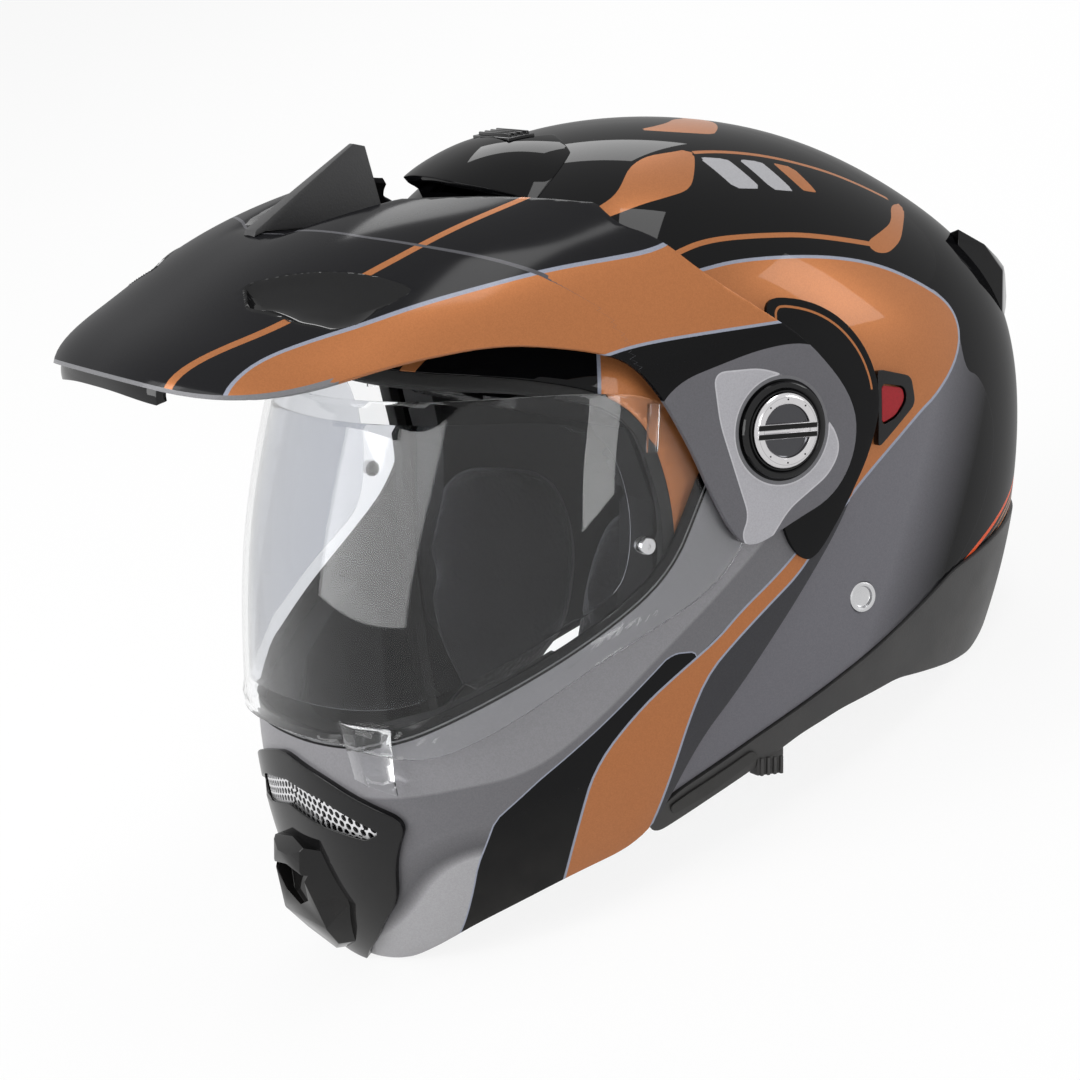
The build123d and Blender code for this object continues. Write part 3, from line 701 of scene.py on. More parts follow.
# %% [markdown]
# The top vent is a low dome on the crown with a mouth under its front lip. The dome is a skin of its own,
# kept only where it stands outside the shell, so it grows out of the shell with no seam to fit. A dark wall
# closes the duct behind the mouth, and the plate that opens it lies in a shallow groove.

# %% Top vent
vent_line = [(104, 20), (101, 60), (90, 88), (74, 99.5), (57, 106), (40, 108.5), (20, 108.5), (0, 106),
             (-60, 80), (-80, 0), (0, -80), (80, -40)]
vent_half = 84
vent_plan = [(0, 87), (20, 85), (35, 77), (47, 66), (56, 56), (54, 49), (38, 39), (0, 34)]
groove_plan = [(-15.3, 34.4), (15.3, 34.4), (15.3, 56.6), (-15.3, 56.6)]
shell_egg = egg(shell_line, shell_half)
vent_skin = skin(vent_line, vent_half)


def clear_of_shell(spots):
    """What stands at least 0.2 mm outside the shell."""
    return 0.2 - shell_egg(spots)


vent_cut = both(plan(mirrored(vent_plan), 9), clear_of_shell, outside(plan(groove_plan, 2)))
vent_box = (np.array([-60, 20, 40]), np.array([60, 96, 125]))
vent = patch("vent_dome", vent_skin, vent_cut, near_grid(vent_skin, *vent_box, 1.3), 2.8, 0.8, 3)
settle(vent, "helmet", "shell_paint", "top_vent")
groove_depth = 3.9
groove = patch("vent_groove", skin(vent_line, vent_half, groove_depth), plan(groove_plan, 2, 1.5),
               near_grid(vent_skin, *vent_box, 1.5), 1.0, 0)
settle(groove, "helmet", "black_matt")


def duct_wall(shares):
    """Upright wall across the duct, a little hollow in its middle: forward = 68 - across^2 / 300."""
    across, high = shares.T
    return np.column_stack([across, 68 - across ** 2 / 300, high])


duct_cut = both(clear_of_shell, egg(vent_line, vent_half, 2.6))
spots, faces, _ = trimmed(duct_wall, duct_cut, np.linspace(-50, 50, 60), np.linspace(60, 115, 40))
settle(smooth(new_piece("vent_throat", spots, faces)), "helmet", "black_matt")
softened("vent_slider", "vent_slider", "black_gloss", 0.4)
softened("rear_spoiler", "helmet", "black_gloss", 1.2, 3, 24)

# %% [markdown]
# Edge trim closes the shell below. It carries a slot for the sun visor's lever. A slot is a plain box taken
# away with a Boolean, which suits it better than the grid, because its walls go straight through. On each
# side a thin soft pad lies on the strip near the front.

# %% Edge trim and its pads
def box_mesh(place, size):
    """Eight corners and six faces of a box about a drawn point."""
    signs = np.array([(x, y, z) for x in (-1, 1) for y in (-1, 1) for z in (-1, 1)]) / 2
    faces = [(0, 1, 3, 2), (4, 6, 7, 5), (0, 4, 5, 1), (2, 3, 7, 6), (0, 2, 6, 4), (1, 5, 7, 3)]
    return signs * np.array(size) + np.array(place), faces


def notched(piece, place, size):
    """Takes a box away from a piece."""
    cutter = closed(new_piece("cutter", *box_mesh(place, size)))
    cut = piece.modifiers.new("notch", "BOOLEAN")
    cut.operation, cut.object, cut.solver = "DIFFERENCE", cutter, "EXACT"
    applied(piece)
    bpy.data.objects.remove(cutter)
    return smooth(piece)


rim_outline = [(38, -154), (27, -142), (-4, -123), (-60, -93), (-103, -67), (-160, -51), (-220, -41),
               (-220, rest_up(-220)), (-129, rest_up(-129)), (-112, -108), (-74, -108), (-44, -116),
               (-25, -124), (13, -147), (33, -160)]
trim_skin = skin(shell_line, shell_half, -1.2)
trim_grid = near_grid(trim_skin, np.array([-130, -230, -190]), np.array([130, 60, -30]), 2.0)
trim = patch("edge_strip", trim_skin, side(rim_outline, 5), trim_grid, 7, 1.0, 3)
lever_travel = 20
notched(trim, (99, -12 - lever_travel / 2, -124), (6.8, 13 + lever_travel, 24))
settle(trim, "helmet", "black_matt", "edge_trim")
rim_pad_outline = [(30, -148), (23, -143), (-2, -128), (-6, -131), (13, -144), (28, -152)]
pad_skin = skin(shell_line, shell_half, -2.3)
pad_box = (np.array([20, -12, -156]), np.array([130, 34, -120]))
pad_cut = both(side(rim_pad_outline, 2), on_left())
spots, faces, _ = trimmed(pad_skin, pad_cut, *near_grid(pad_skin, *pad_box, 0.8))
for rim_pad, word in pair("rim_pad", spots, faces):
    settle(walled(rim_pad, 1.0, 0.4), "helmet", "soft_black", "edge_pads")

# %% [markdown]
# Behind each pivot a plate hides the joint between arm and shell. On the wearer's left it has a red catch.

# %% Pivot covers and lock
cover_outline = [(4, 50), (-16, 48), (-32, 40), (-44, 26), (-49.5, 8), (-44, -12), (-33, -32), (-20, -51),
                 (-13, -52), (-5, -42), (-1, -24), (-1, 24)]
cover_wall, mount_radius = 2.0, 16
cover_cut = both(side(cover_outline, 9), outside(disc(hinge_place, mount_radius + 0.4)), on_left())
cover_skin = skin(chin_line, chin_half, -cover_wall)
spots, faces, _ = trimmed(cover_skin, cover_cut, *grid(420, 260, 0.5))
for cover, word in pair("cover_smooth", spots, faces):
    settle(walled(cover, cover_wall - 0.1, 0.7, 3), "chin_assembly", "peak_paint", "pivot_cover_" + word)
lock_outline = [(-51, 19), (-69, 15), (-71, 4), (-51, -12)]
lock_window = [(-53, 13), (-65, 11), (-66, 6), (-61, 0), (-53, -3)]
lock_box = (np.array([60, -80, -20]), np.array([130, -40, 30]))
frame_skin, button_skin = skin(shell_line, shell_half, -3), skin(shell_line, shell_half, -2.2)
frame_cut = both(side(lock_outline, 3), outside(side(lock_window, 2.5, 0.3)), on_left())
lock_frame = patch("lock_surround", frame_skin, frame_cut, near_grid(frame_skin, *lock_box, 0.7), 2.9, 0.6, 3)
settle(lock_frame, "helmet", "black_gloss", "lock_frame")
button_cut = both(side(lock_window, 2.5, -0.4), on_left())
button = patch("lock_tab", button_skin, button_cut, near_grid(button_skin, *lock_box, 0.7), 0.9, 0.35, 3)
settle(button, "lock_button", "signal_red", "lock_button")

# %% [markdown]
# Air for the mouth comes in through a metal mesh in a black surround. Real mesh is punched sheet. A bump
# would look flat up close, so the holes are cut in the grid: their measure is the distance to the nearest
# of many round holes in rows, and one cut makes them all.

# %% Mouth trim, mesh and nose
trim_front = [(0, -131), (30, -137), (64, -149), (56, -165), (50, -184), (30, -204), (0, -224)]
mouth_skin = skin(chin_line, chin_half, -3)
above_ground = [(-300, rest_up(-300)), (300, rest_up(300)), (300, 300), (-300, 300)]
mouth_cut = both(front(mirrored(trim_front), 7), outside(front(mirrored(mesh_front), 2)),
                 side(above_ground, 1))
mouth_box = (np.array([-70, 80, -230]), np.array([70, 170, -125]))
mouth = patch("mouth_surround", mouth_skin, mouth_cut, near_grid(mouth_skin, *mouth_box, 1.4), 2.9, 0.8, 3)
settle(mouth, "chin_assembly", "black_gloss", "mouth_trim")
hole_pitch, hole_radius, mesh_slope, first_row = 3.3, 1.25, 0.2, -148
row_pitch = hole_pitch * 0.866


def holes(spots):
    """Distance outside the nearest hole of a grid whose rows are shifted by half a pitch, like honeycomb."""
    across = spots[:, 0]
    high = (spots[:, 2] - first_row + mesh_slope * np.abs(across)) / row_pitch
    row = np.round(high)
    off = across / hole_pitch - 0.5 * (row % 2)
    return np.hypot((off - np.round(off)) * hole_pitch, (high - row) * row_pitch) - hole_radius


mesh_skin = skin(chin_line, chin_half, -0.5)
mesh_box = (np.array([-58, 100, -165]), np.array([58, 170, -138]))
mesh_cut = both(front(mirrored(mesh_front), 2, -0.1), outside(holes))
mesh = patch("mouth_grille", mesh_skin, mesh_cut, near_grid(mesh_skin, *mesh_box, 0.5), 0.9, 0)
settle(mesh, "chin_assembly", "mesh_steel", "mouth_mesh")
softened("chin_vent", "chin_assembly", "black_gloss", 1.2, 3)
softened("mouth_shutter", "mouth_shutter", "black_matt", 0.4)
softened("release_button", "release_button", "signal_red", 0.8)

# %% [markdown]
# Two openings let air through the peak, and each has a scoop that sinks from a raised rim. The scoop is the
# peak's skin, lowered by a sine of how far inside the opening a point lies. A rail closes the tip, and a fin
# stands on the middle line.

# %% Wing vents, rail and fin of the peak
wing_skin = skin(peak_line, peak_half, 1, square_bulge)


def scooped(shares):
    """The wing's patch sinks by depth * sin(share of the way in), and rises at its rim in a narrow bell."""
    spots = wing_skin(shares)
    inside = wing_both(spots)
    depth, way_in, rim_height, rim_wide = 5, 9, 1.5, 1.2
    spots[:, 2] -= depth * np.sin(np.clip(-inside / way_in, 0, 1) * np.pi / 2)
    spots[:, 2] += rim_height * np.exp(-(inside / rim_wide) ** 2)
    return spots


wing_box = (np.array([38, 130, 30]), np.array([100, 192, 75]))
_, faces, shares = trimmed(wing_skin, plan(wing_plan, 3, 1.0, 36), *near_grid(wing_skin, *wing_box, 1.0))
for wing, word in pair("wing_scoop", scooped(shares), faces):
    settle(walled(wing, 1.6, 0), "chin_assembly", "black_gloss", "wing_vents")
peak_rail_outline = [(233, 30), (229, 20), (221, 14), (206, 13), (196, 18), (190, 28), (212, 26)]
rail_skin = skin(peak_line, peak_half, peak_wall + 0.1, square_bulge)
rail_cut = both(side(peak_rail_outline, 5), lambda spots: np.abs(spots[:, 0]) - 48)
rail_box = (np.array([-50, 180, 5]), np.array([50, 240, 35]))
rail = patch("nose_rail", rail_skin, rail_cut, near_grid(rail_skin, *rail_box, 1.2), 4.8, 1.2, 3)
settle(rail, "chin_assembly", "black_gloss", "peak_rail")
softened("peak_fin", "chin_assembly", "black_matt", 0.7, 3)

# %% [markdown]
# A tinted sun visor hides between shell and lining and swings down when its lever is pushed. It is a slice
# of a nearly round skin about the hinge line, with a notch for the nose, so it slides in its gap without
# touching.

# %% Visor details and sun visor
softened("visor_tab", "visor_assembly", "clear", 1.0, 3)
softened("visor_ridges", "visor_assembly", "clear", 0.4)
sun_radius, sun_half, sun_wall = 106, 112.6, 2
sun_outline = [(0, -10), (36, -2), (150, 18), (92, 122), (34, 40), (-3, 10), (-9, 4), (-9, -5)]
sun_notch = [(0, 34), (20, 22), (28, 0), (0, 0)]
turns = np.radians(np.arange(0, 360, 30))
sun_line = [(sun_radius * np.cos(turn), sun_radius * np.sin(turn)) for turn in turns]
sun_cut = both(side(sun_outline, 8), outside(front(mirrored(sun_notch), 10, 0, 0)),
               outside(disc(hinge_place, shaft_radius + 0.05)))
sun = patch("sun_lens", skin(sun_line, sun_half), sun_cut, grid(260, 120, 0.5), sun_wall, 0.5)
settle(sun, "sun_visor", "smoke", "sun_visor")
softened("sun_lever", "sun_lever", "black_matt", 0.4)
softened("buckle_body", "helmet", "black_matt", 0.5)
softened("buckle_tongue", "helmet", "signal_red", 0.5)
softened("buckle_lever", "buckle_lever", "black_matt", 0.5)

# %% [markdown]
# The knob that clamps the peak is turned metal with bars across it to grip. A turned part is a profile that
# is carried round its axis, so its rings stay true circles. The bars are small boxes with rounded rims, set
# in it.

# %% Turned parts
def turned(name, profile, place=(0, 0), count=96, hand=1):
    """Surface of revolution about a line across the helmet: each (radius, left) point makes a ring."""
    radii, lefts = np.array(profile, float).T
    turns = np.linspace(0, 2 * np.pi, count, endpoint=False)
    left = np.broadcast_to(lefts[:, None] * hand, (len(radii), count))
    forward, up = (place[0] + radii[:, None] * np.cos(turns), place[1] + radii[:, None] * np.sin(turns))
    rings = np.stack([left, forward, up], -1)
    index = np.arange(len(radii) * count).reshape(len(radii), count)
    after = np.roll(index, -1, axis=1)
    faces = np.stack([index[:-1], after[:-1], after[1:], index[1:]], -1).reshape(-1, 4)
    return closed(new_piece(name, rings.reshape(-1, 3), faces))


def joined(name, *pieces):
    """One mesh from several."""
    solid = bmesh.new()
    for piece in pieces:
        solid.from_mesh(piece.data)
        bpy.data.objects.remove(piece)
    mesh = bpy.data.meshes.new(name)
    solid.to_mesh(mesh)
    solid.free()
    return linked(name, mesh)


def capped(half, bulge=round_bulge):
    """Where a skin's flat cap lies, out from the middle."""
    return half * np.sin(radians(cap_angle)) ** (2 / bulge)


def rounded_box(name, place, size, rim):
    """Box with a rounded rim."""
    return bevelled(closed(new_piece(name, *box_mesh(place, size))), rim, 3, 30)


# %% [markdown]
# On the real knob a dark bezel frames a bright disc with a sunk middle, two raised bars and six small marks.
# Two rings are turned for it, and the bars and marks are joined to the disc as one piece.

# %% Peak knobs and bezels
arm_face = capped(peak_half, square_bulge)
knob_seat, knob_height = 0.8, 4.2
base, top, low = arm_face + knob_seat + 0.05, arm_face + knob_height, arm_face + 0.05
knob_ring = [(0, base), (14, base), (14.25, base + 0.3), (14.3, top - 1.3), (13.7, top - 0.5),
             (12.9, top - 0.15), (12.2, top - 0.3), (11.6, top - 0.25), (10.7, top - 0.2), (10.3, top - 0.5),
             (10.1, top - 1.6), (9.6, top - 1.9), (0, top - 1.7)]
bezel_ring = [(4.1, low), (18.4, low), (18.5, low + 1.2), (18.1, low + 1.9), (17.2, low + 2.3),
              (16.4, low + 2.3), (15.9, low + 1.9), (15.6, low + 1.5), (15.2, low + 2.0), (14.8, low + 2.1),
              (14.45, low + 1.8), (14.4, low + 0.7), (4.1, low + 0.7), (4.1, low)]
mark_radius, mark_turns = 12, np.radians([50, 90, 130, 230, 270, 310])
for hand, word in hands:
    parts = [turned("disc", knob_ring, hand=hand, count=120)]
    parts += [rounded_box("bar", (hand * (top - 1.0), 0, up), (1.9, 26.6, 2.5), 0.5) for up in (1.7, -1.7)]
    parts.append(rounded_box("bar", (hand * (top - 1.4), 0, 0), (1.4, 22, 2.2), 0.3))
    for turn in mark_turns:
        spot = (hand * (top - 0.35), mark_radius * np.cos(turn), mark_radius * np.sin(turn))
        parts.append(rounded_box("mark", spot, (0.6, 0.7, 0.7), 0.15))
    settle(smooth(joined("knob_smooth_" + word, *parts)), "knob_" + word, "chrome", "knob_" + word)
    bezel = turned("bezel_smooth_" + word, bezel_ring, hand=hand, count=120)
    settle(smooth(bezel), "chin_assembly", "black_gloss", "knob_bezels")

# %% [markdown]
# The strap's rivet and the pin of the anti-fog lens are turned parts too. One profile each serves both sides.

# %% Rivets and pins
rivet_ring = [(0, 103.3), (6.1, 103.3), (6.15, 109.6), (5.9, 110.3), (5.2, 110.55), (4.4, 110.3),
              (4.0, 109.2), (3.4, 108.9), (0, 109.0)]
pin_ring = [(0, 114.7), (3.3, 114.7), (3.35, 119.6), (3.0, 120.2), (2.4, 120.35), (0.9, 120.3), (0.8, 119.8),
            (0, 119.8)]
for hand, word in hands:
    rivet = turned("rivet_smooth_" + word, rivet_ring, rivet_place, 64, hand)
    settle(smooth(rivet), "helmet", "steel", "strap_rivets")
    pin = turned("pin_smooth_" + word, pin_ring, fog_pin_place, 48, hand)
    settle(smooth(pin), "visor_assembly", "steel", "fog_pins")

# %% [markdown]
# Webbing is a flat band with thick edges, so it is swept directly: an oval with flat sides is carried along
# the strap's line, from its rivet round under the jaw to the buckle. Its line is the spline through its
# corners.

# %% Chin strap
strap_forward, strap_wide, strap_thick = -49, 22, 1.8
strap_route = [(102, -66), (97, -89), (81, -105), (54, -118), (17, -123)]


def open_curve(corners, count):
    """Quadratic B-spline that starts and ends on its corners: halves of each leg joined by parabolas."""
    spots = np.array(corners, float)
    middles = (spots[:-1] + spots[1:]) / 2
    starts = np.vstack([spots[:1], middles[1:-1]])
    ends = np.vstack([middles[1:-1], spots[-1:]])
    ahead = np.linspace(0, 1, count)[None, :, None]
    bend = (starts[:, None] * (1 - ahead) ** 2 + 2 * spots[1:-1, None] * ahead * (1 - ahead)
            + ends[:, None] * ahead ** 2)
    line = bend.reshape(-1, spots.shape[1])
    return line[np.append(True, np.abs(np.diff(line, axis=0)).sum(1) > 1e-6)]


def webbing(name, route, forward, wide, thick, hand):
    """Closed band along the line: across it, wide * cos(turn)^0.5 and thick * sin(turn)^0.8, a flat oval."""
    line = open_curve(route, 14)
    ahead = np.gradient(line, axis=0)
    ahead /= np.hypot(*ahead.T)[:, None]
    normal = np.column_stack([-ahead[:, 1], ahead[:, 0]])
    turns = np.linspace(0, 2 * np.pi, 28, endpoint=False)
    broad = np.sign(np.cos(turns)) * np.abs(np.cos(turns)) ** 0.5 * wide / 2
    deep = np.sign(np.sin(turns)) * np.abs(np.sin(turns)) ** 0.8 * thick / 2
    section = line[:, None] + normal[:, None] * deep[None, :, None]
    depth = np.broadcast_to(forward + broad, section.shape[:2])
    rings = np.stack([section[..., 0] * hand, depth, section[..., 1]], -1)
    index = np.arange(rings[..., 0].size).reshape(rings.shape[:2])
    after = np.roll(index, -1, axis=1)
    faces = np.stack([index[:-1], after[:-1], after[1:], index[1:]], -1).reshape(-1, 4).tolist()
    faces += [index[0].tolist(), index[-1][::-1].tolist()]
    return smooth(closed(new_piece(name, rings.reshape(-1, 3), faces)))


for hand, word in hands:
    strap = webbing("webbing_" + word, strap_route, strap_forward, strap_wide, strap_thick, hand)
    settle(strap, "helmet", "webbing", "strap_" + word)

# %% [markdown]
# The lining is cut foam under stretched cloth. Each pad is a closed, crowned form between two skins: flat
# where it lies on the liner, thick in its middle, and thin along its rim and its sewn channels. Cloth
# simulation then fills the cheek pads and the neck roll a little, so that they look stuffed and not
# moulded.

# %% Pads
def crown_of(inside, edge):
    """Quarter circle from 0 at the rim to 1 at an edge distance inside: sqrt(1 - (1 - share)^2)."""
    share = np.clip(inside / edge, 0, 1)
    return np.sqrt(1 - (1 - share) ** 2)


def pillow(name, egg_skin, cut, shares, thick, edge, seams=None, hand=1):
    """Closed pad: the patch, and the patch sunk by a thickness that is nothing at the rim, half at seams."""
    spots, faces, used = trimmed(egg_skin, cut, *shares)
    depth, seam_width = thick * crown_of(-cut(spots), edge), 2.2
    if seams:
        depth = depth * (1 - 0.5 * np.exp(-(seams(spots) / seam_width) ** 2))
    inner = egg_skin(used, depth)
    points = np.concatenate([spots, inner]) * (hand, 1, 1)
    return closed(new_piece(name, points, np.concatenate([faces, faces[:, ::-1] + len(spots)])))


cavity_half, soft_gap, crown_wall, cheek_wall, neck_wall = 80, 0.3, 9, 26, 22
cavity_line = [(86, 0), (74, 44), (40, 72), (0, 79), (-60, 74), (-108, 48), (-134, 0), (-132, -60),
               (-104, -130), (-40, -190), (50, -190), (92, -120), (94, -50)]
crown_outline = [(120, 22), (120, 140), (-170, 140), (-170, -30), (-116, -34), (-60, -12), (20, 4), (60, 18)]
cheek_outline = [(42, -34), (52, -62), (56, -108), (36, -138), (6, -132), (-16, -112), (-24, -74), (-12, -40)]
neck_outline = [(-66, -102), (-128, -103), (-190, -75), (-190, -58), (-120, -72), (-66, -92)]
cavity_skin = skin(cavity_line, cavity_half, soft_gap)


def channels(spots):
    """Distance to the nearest sewn channel: lines front to back every 32 mm and two rings across."""
    across = np.abs((spots[:, 0] / 32 + 0.5) % 1 - 0.5) * 32
    ring = np.minimum(np.abs(spots[:, 1] - 22), np.abs(spots[:, 1] + 62))
    return np.minimum(across, ring)


crown_grid = grid(260, 150, 0.5)
crown = pillow("crown_lining", cavity_skin, side(crown_outline, 14), crown_grid, crown_wall - 0.3, 9,
               channels)
settle(smooth(crown, 60), "helmet", "pad_cloth", "crown_pad")


def swollen(piece, voxel=4.5, pressure=4, most=6):
    """Cloth simulation with pressure on a remeshed copy; no point moves further than most millimetres."""
    remesh = piece.modifiers.new("remesh", "REMESH")
    remesh.mode, remesh.voxel_size = "VOXEL", voxel / 1000
    applied(piece)
    points = piece.data.vertices
    before = read(points, "co")
    cloth = piece.modifiers.new("cloth", "CLOTH")
    cloth.settings.use_pressure, cloth.settings.uniform_pressure_force = True, pressure
    cloth.settings.effector_weights.gravity = 0
    for number in range(1, 21):
        bpy.context.scene.frame_set(number)
    graph = bpy.context.evaluated_depsgraph_get()
    step = read(piece.evaluated_get(graph).data.vertices, "co") - before
    piece.modifiers.remove(cloth)
    length = np.maximum(np.linalg.norm(step, axis=1), 1e-9)
    step *= (np.minimum(length, most / 1000) / length)[:, None]
    points.foreach_set("co", (before + step).ravel())
    bpy.context.scene.frame_set(1)
    print(f"{piece.name} swelled by {np.minimum(length, most / 1000).mean() * 1000:.1f} mm on average")
    finer = piece.modifiers.new("finer", "SUBSURF")
    finer.levels = finer.render_levels = 1
    return smooth(applied(piece), 60)


cheek_skin, neck_skin = skin(cavity_line, cavity_half, 1.5), skin(shell_line, shell_half, 8.6)
cheek_cut = both(side(cheek_outline, 16, -1.5), on_left())
cheek_grid = near_grid(cavity_skin, np.array([20, -30, -145]), np.array([90, 60, -30]), 2.5)
for hand, word in hands:
    cheek = pillow("cheek_lining_" + word, cheek_skin, cheek_cut, cheek_grid, cheek_wall - 4, 15, None, hand)
    swollen(cheek, most=1.5)
    settle(cheek, "helmet", "pad_cloth", "cheek_pad_" + word)
neck_grid = near_grid(neck_skin, np.array([-110, -200, -110]), np.array([110, -60, -50]), 2.5)
neck = pillow("neck_lining", neck_skin, side(neck_outline, 8, -1.5), neck_grid, neck_wall - 3, 9)
swollen(neck, most=2)
settle(neck, "helmet", "pad_cloth", "neck_roll")

# %% [markdown]
# The paint is a layout of plain bands and stripes that follow the helmet's lines: copper, silver and greys
# on black. Lettering, badges and a patch with a layout of its own are left off, and plain bars stand in
# their place. Each painted shape is stored as an attribute: its signed distance in millimetres at every
# point. A material that asks whether the distance is below zero gets an edge far crisper than the grid that
# carries it.

# %% Store painted shapes
far_off = 20


def track(path, view=(1, 2)):
    """Signed distance to a smooth open line in a flat view: it grows to the left of the way the line runs."""
    line = open_curve(path, 8)
    legs = np.diff(line, axis=0)
    long = (legs ** 2).sum(1)

    def shape(spots):
        flat = np.abs(spots[:, view[0]]) if view[0] == 0 else spots[:, view[0]]
        flat = np.column_stack([flat, spots[:, view[1]]])
        result = np.empty(len(flat))
        for block in np.array_split(np.arange(len(flat)), max(1, len(flat) // block_size)):
            apart = flat[block, None] - line[None, :-1]
            share = np.clip((apart * legs).sum(2) / long, 0, 1)
            far = np.hypot(*np.moveaxis(apart - share[..., None] * legs, 2, 0))
            near = far.argmin(1)
            rows = np.arange(len(block))
            turn = legs[near, 0] * apart[rows, near, 1] - legs[near, 1] * apart[rows, near, 0]
            result[block] = far[rows, near] * np.where(turn < 0, -1, 1)
        return result
    return shape


def plan_half(outline, reach=8):
    """Distance outside an outline drawn from above for the left half, the same on the right."""
    shape = eased(outline, reach)
    return lambda spots: measure(np.column_stack([np.abs(spots[:, 0]), spots[:, 1]]), shape)


def store(piece, values):
    """Stores named arrays as attributes on the piece's points."""
    for name, value in values.items():
        layer = piece.data.attributes.new(name, "FLOAT", "POINT")
        layer.data.foreach_set("value", value.astype(np.float32))
    print(piece.name, "carries", ", ".join(values))


def stain(piece, **shapes):
    """Stores the shapes' distances on the piece's points, no more than 20 mm either way.

    A last one, facing, is ten times the cosine between the normal and the way out from the hinge line's
    middle. It is below zero inside, where the plastic stays bare.
    """
    points = read(piece.data.vertices, "co")
    spots, away = drawn(points), points - pivot
    normals = np.array([corner.vector for corner in piece.data.vertex_normals])
    facing = 10 * (normals * away).sum(1) / np.linalg.norm(away, axis=1)
    values = {name: shape(spots) for name, shape in shapes.items()} | {"facing": facing}
    store(piece, {name: np.clip(value, -far_off, far_off) for name, value in values.items()})


# %% [markdown]
# On the shell a copper swoosh runs back from the visor and curls under a grey panel. Above it lie thin
# copper lines, a ribbon and a few slanted bars, and at the back an orange line over fine hatching. Wide
# bands are closed outlines in the side view. Thin lines are open tracks, kept to their length by a room
# around them.

# %% Lay out the shell's paint
def nowhere(spots):
    """Far outside, at every point."""
    return np.full(len(spots), float(far_off))


def hatch_way(spots):
    """Centimetres along the way that crosses the hatching."""
    return (spots[:, 1] * 0.45 + spots[:, 2] * 0.89) / 10


def fade(spots):
    """Below zero behind a leaning line, where the panel fades to black."""
    return (spots[:, 1] + 92 + 0.35 * (spots[:, 2] + 30)) / 2


def brow(spots):
    """A copper bar each side over the eye port, drawn from the front and only on the front of the shell."""
    flat = np.column_stack([np.abs(spots[:, 0]), spots[:, 2]])
    return measure(flat, brow_shape) + (spots[:, 1] < 60) * far_off


brow_shape = eased([(27, 0), (33, 0), (53, 34), (44, 34)], 1)
swoosh = side([(60, 50), (23, 58), (3, 62), (-34, 62), (-65, 57), (-91, 46), (-102, 38), (-104, 28),
               (-98, 17), (-84, 5), (-76, 1), (-44, -24), (-30, -40), (40, -110), (70, -40)], 20)
panel = side([(-91, 50), (-103, 36), (-105, 13), (-116, 11), (-129, -13), (-123, -41), (-109, -62),
              (-92, -74), (-60, -92), (0, -170), (80, -170), (80, -40)], 12)
crown_ribbon = side([(62, 74), (51, 80), (39, 86), (27, 96), (17, 100), (-5, 102.5), (10, 88), (32, 83),
                     (50, 77), (60, 72)], 5)
crown_tail = side([(-103, 78), (-90, 78), (-83, 72), (-62, 66), (-64, 62), (-72, 61), (-83, 65),
                   (-91, 71)], 4)
crown_block = side([(6, 109), (-19, 112), (-42, 112), (-22, 107)], 1)
first_bar = side([(-3, 99.5), (-15, 98.5), (-21, 87.5), (-9, 88)], 1)
second_bar = side([(-20, 98.3), (-30, 97), (-36, 86), (-26, 87)], 1)
warm_bar = side([(-35, 96.5), (-44, 94.5), (-48, 85), (-41, 86)], 1)
shell_shapes = {
    "swoosh": swoosh, "panel": panel, "fade": fade, "hatch": hatch_way,
    "blocks": either(crown_ribbon, crown_tail, crown_block, warm_bar, brow),
    "bars": either(first_bar, second_bar),
    "thin": track([(60, 52), (39, 60), (29, 65), (14, 70), (-10, 71), (-38, 70), (-70, 64)]),
    "thin_room": side([(80, 40), (80, 80), (-66, 80), (-66, 50)], 1),
    "fine": track([(10, 100), (-4, 101.5), (-25, 100.5), (-45, 97), (-73, 89), (-97, 78)]),
    "fine_room": side([(-3, 110), (-3, 96), (-92, 60), (-92, 110)], 1),
    "rear": track([(-96, -74), (-111, -64), (-138, -50), (-163, -36), (-180, -24)]),
    "rear_room": side([(-108, -100), (-108, 0), (-220, 0), (-220, -100)], 1),
    "hatch_room": side([(-113, -67), (-138, -53), (-172, -32), (-185, -50), (-160, -86), (-135, -78)], 2)}
stain(shell, **shell_shapes)
stain(vent, **dict.fromkeys(shell_shapes, nowhere))

# %% [markdown]
# The chin bar is silver, with a black sweep and a copper strip behind it. Both edges of the strip are
# tracks, so its width changes smoothly. A crease and a fold of the real moulding catch the light. They are
# kept as tracks too: the finish paints a highlight beside them and a band of painted shade along the fold.

# %% Lay out the chin bar's paint
copper_front = track([(72, -300), (71, -172), (70, -150), (67, -126), (52, -105), (37, -92), (21, -80),
                      (12, -70), (-4, -57), (-20, -41), (-34, -20)])
copper_back = track([(-42, -24), (-29, -36), (-21, -46), (-13, -57), (0, -68), (14, -81), (25, -93),
                     (31, -110), (35, -130), (39, -149), (43, -162), (44, -300)])
chin_black = side([(102, -300), (102, -191), (103, -166), (100, -147), (87, -131), (67, -111), (41, -84),
                   (30, -84), (30, -110), (60, -120), (60, -300)], 3)
chin_silver = side([(300, 60), (300, -300), (66, -300), (64, -119), (37, -92), (12, -70), (-4, -57),
                    (-20, -41), (-30, -20), (0, 20)], 4)
chin_crease = track([(160, -146), (132, -142), (114, -135), (90, -128), (67, -107), (46, -84), (20, -60),
                     (0, -40)])
chin_fold = track([(132, -215), (125, -184), (123, -172), (117, -161), (102, -152), (70, -150)])
port_edge = track([(150, -121), (138, -120), (112, -100), (69, -70), (46, -50), (36, -26), (30, -12),
                   (26, -8)])
stain(chin, silver=chin_silver, black=chin_black, copper_front=outside(copper_front),
      copper_back=outside(copper_back), crease=chin_crease, fold=outside(chin_fold),
      lip=lambda spots: np.abs(port_edge(spots)))

# %% [markdown]
# The peak carries the copper band on, from above and from the side, and both have to hold. Its arms are
# silver and grey round the knobs. The pivot covers repeat one fine copper line along their upper rim.

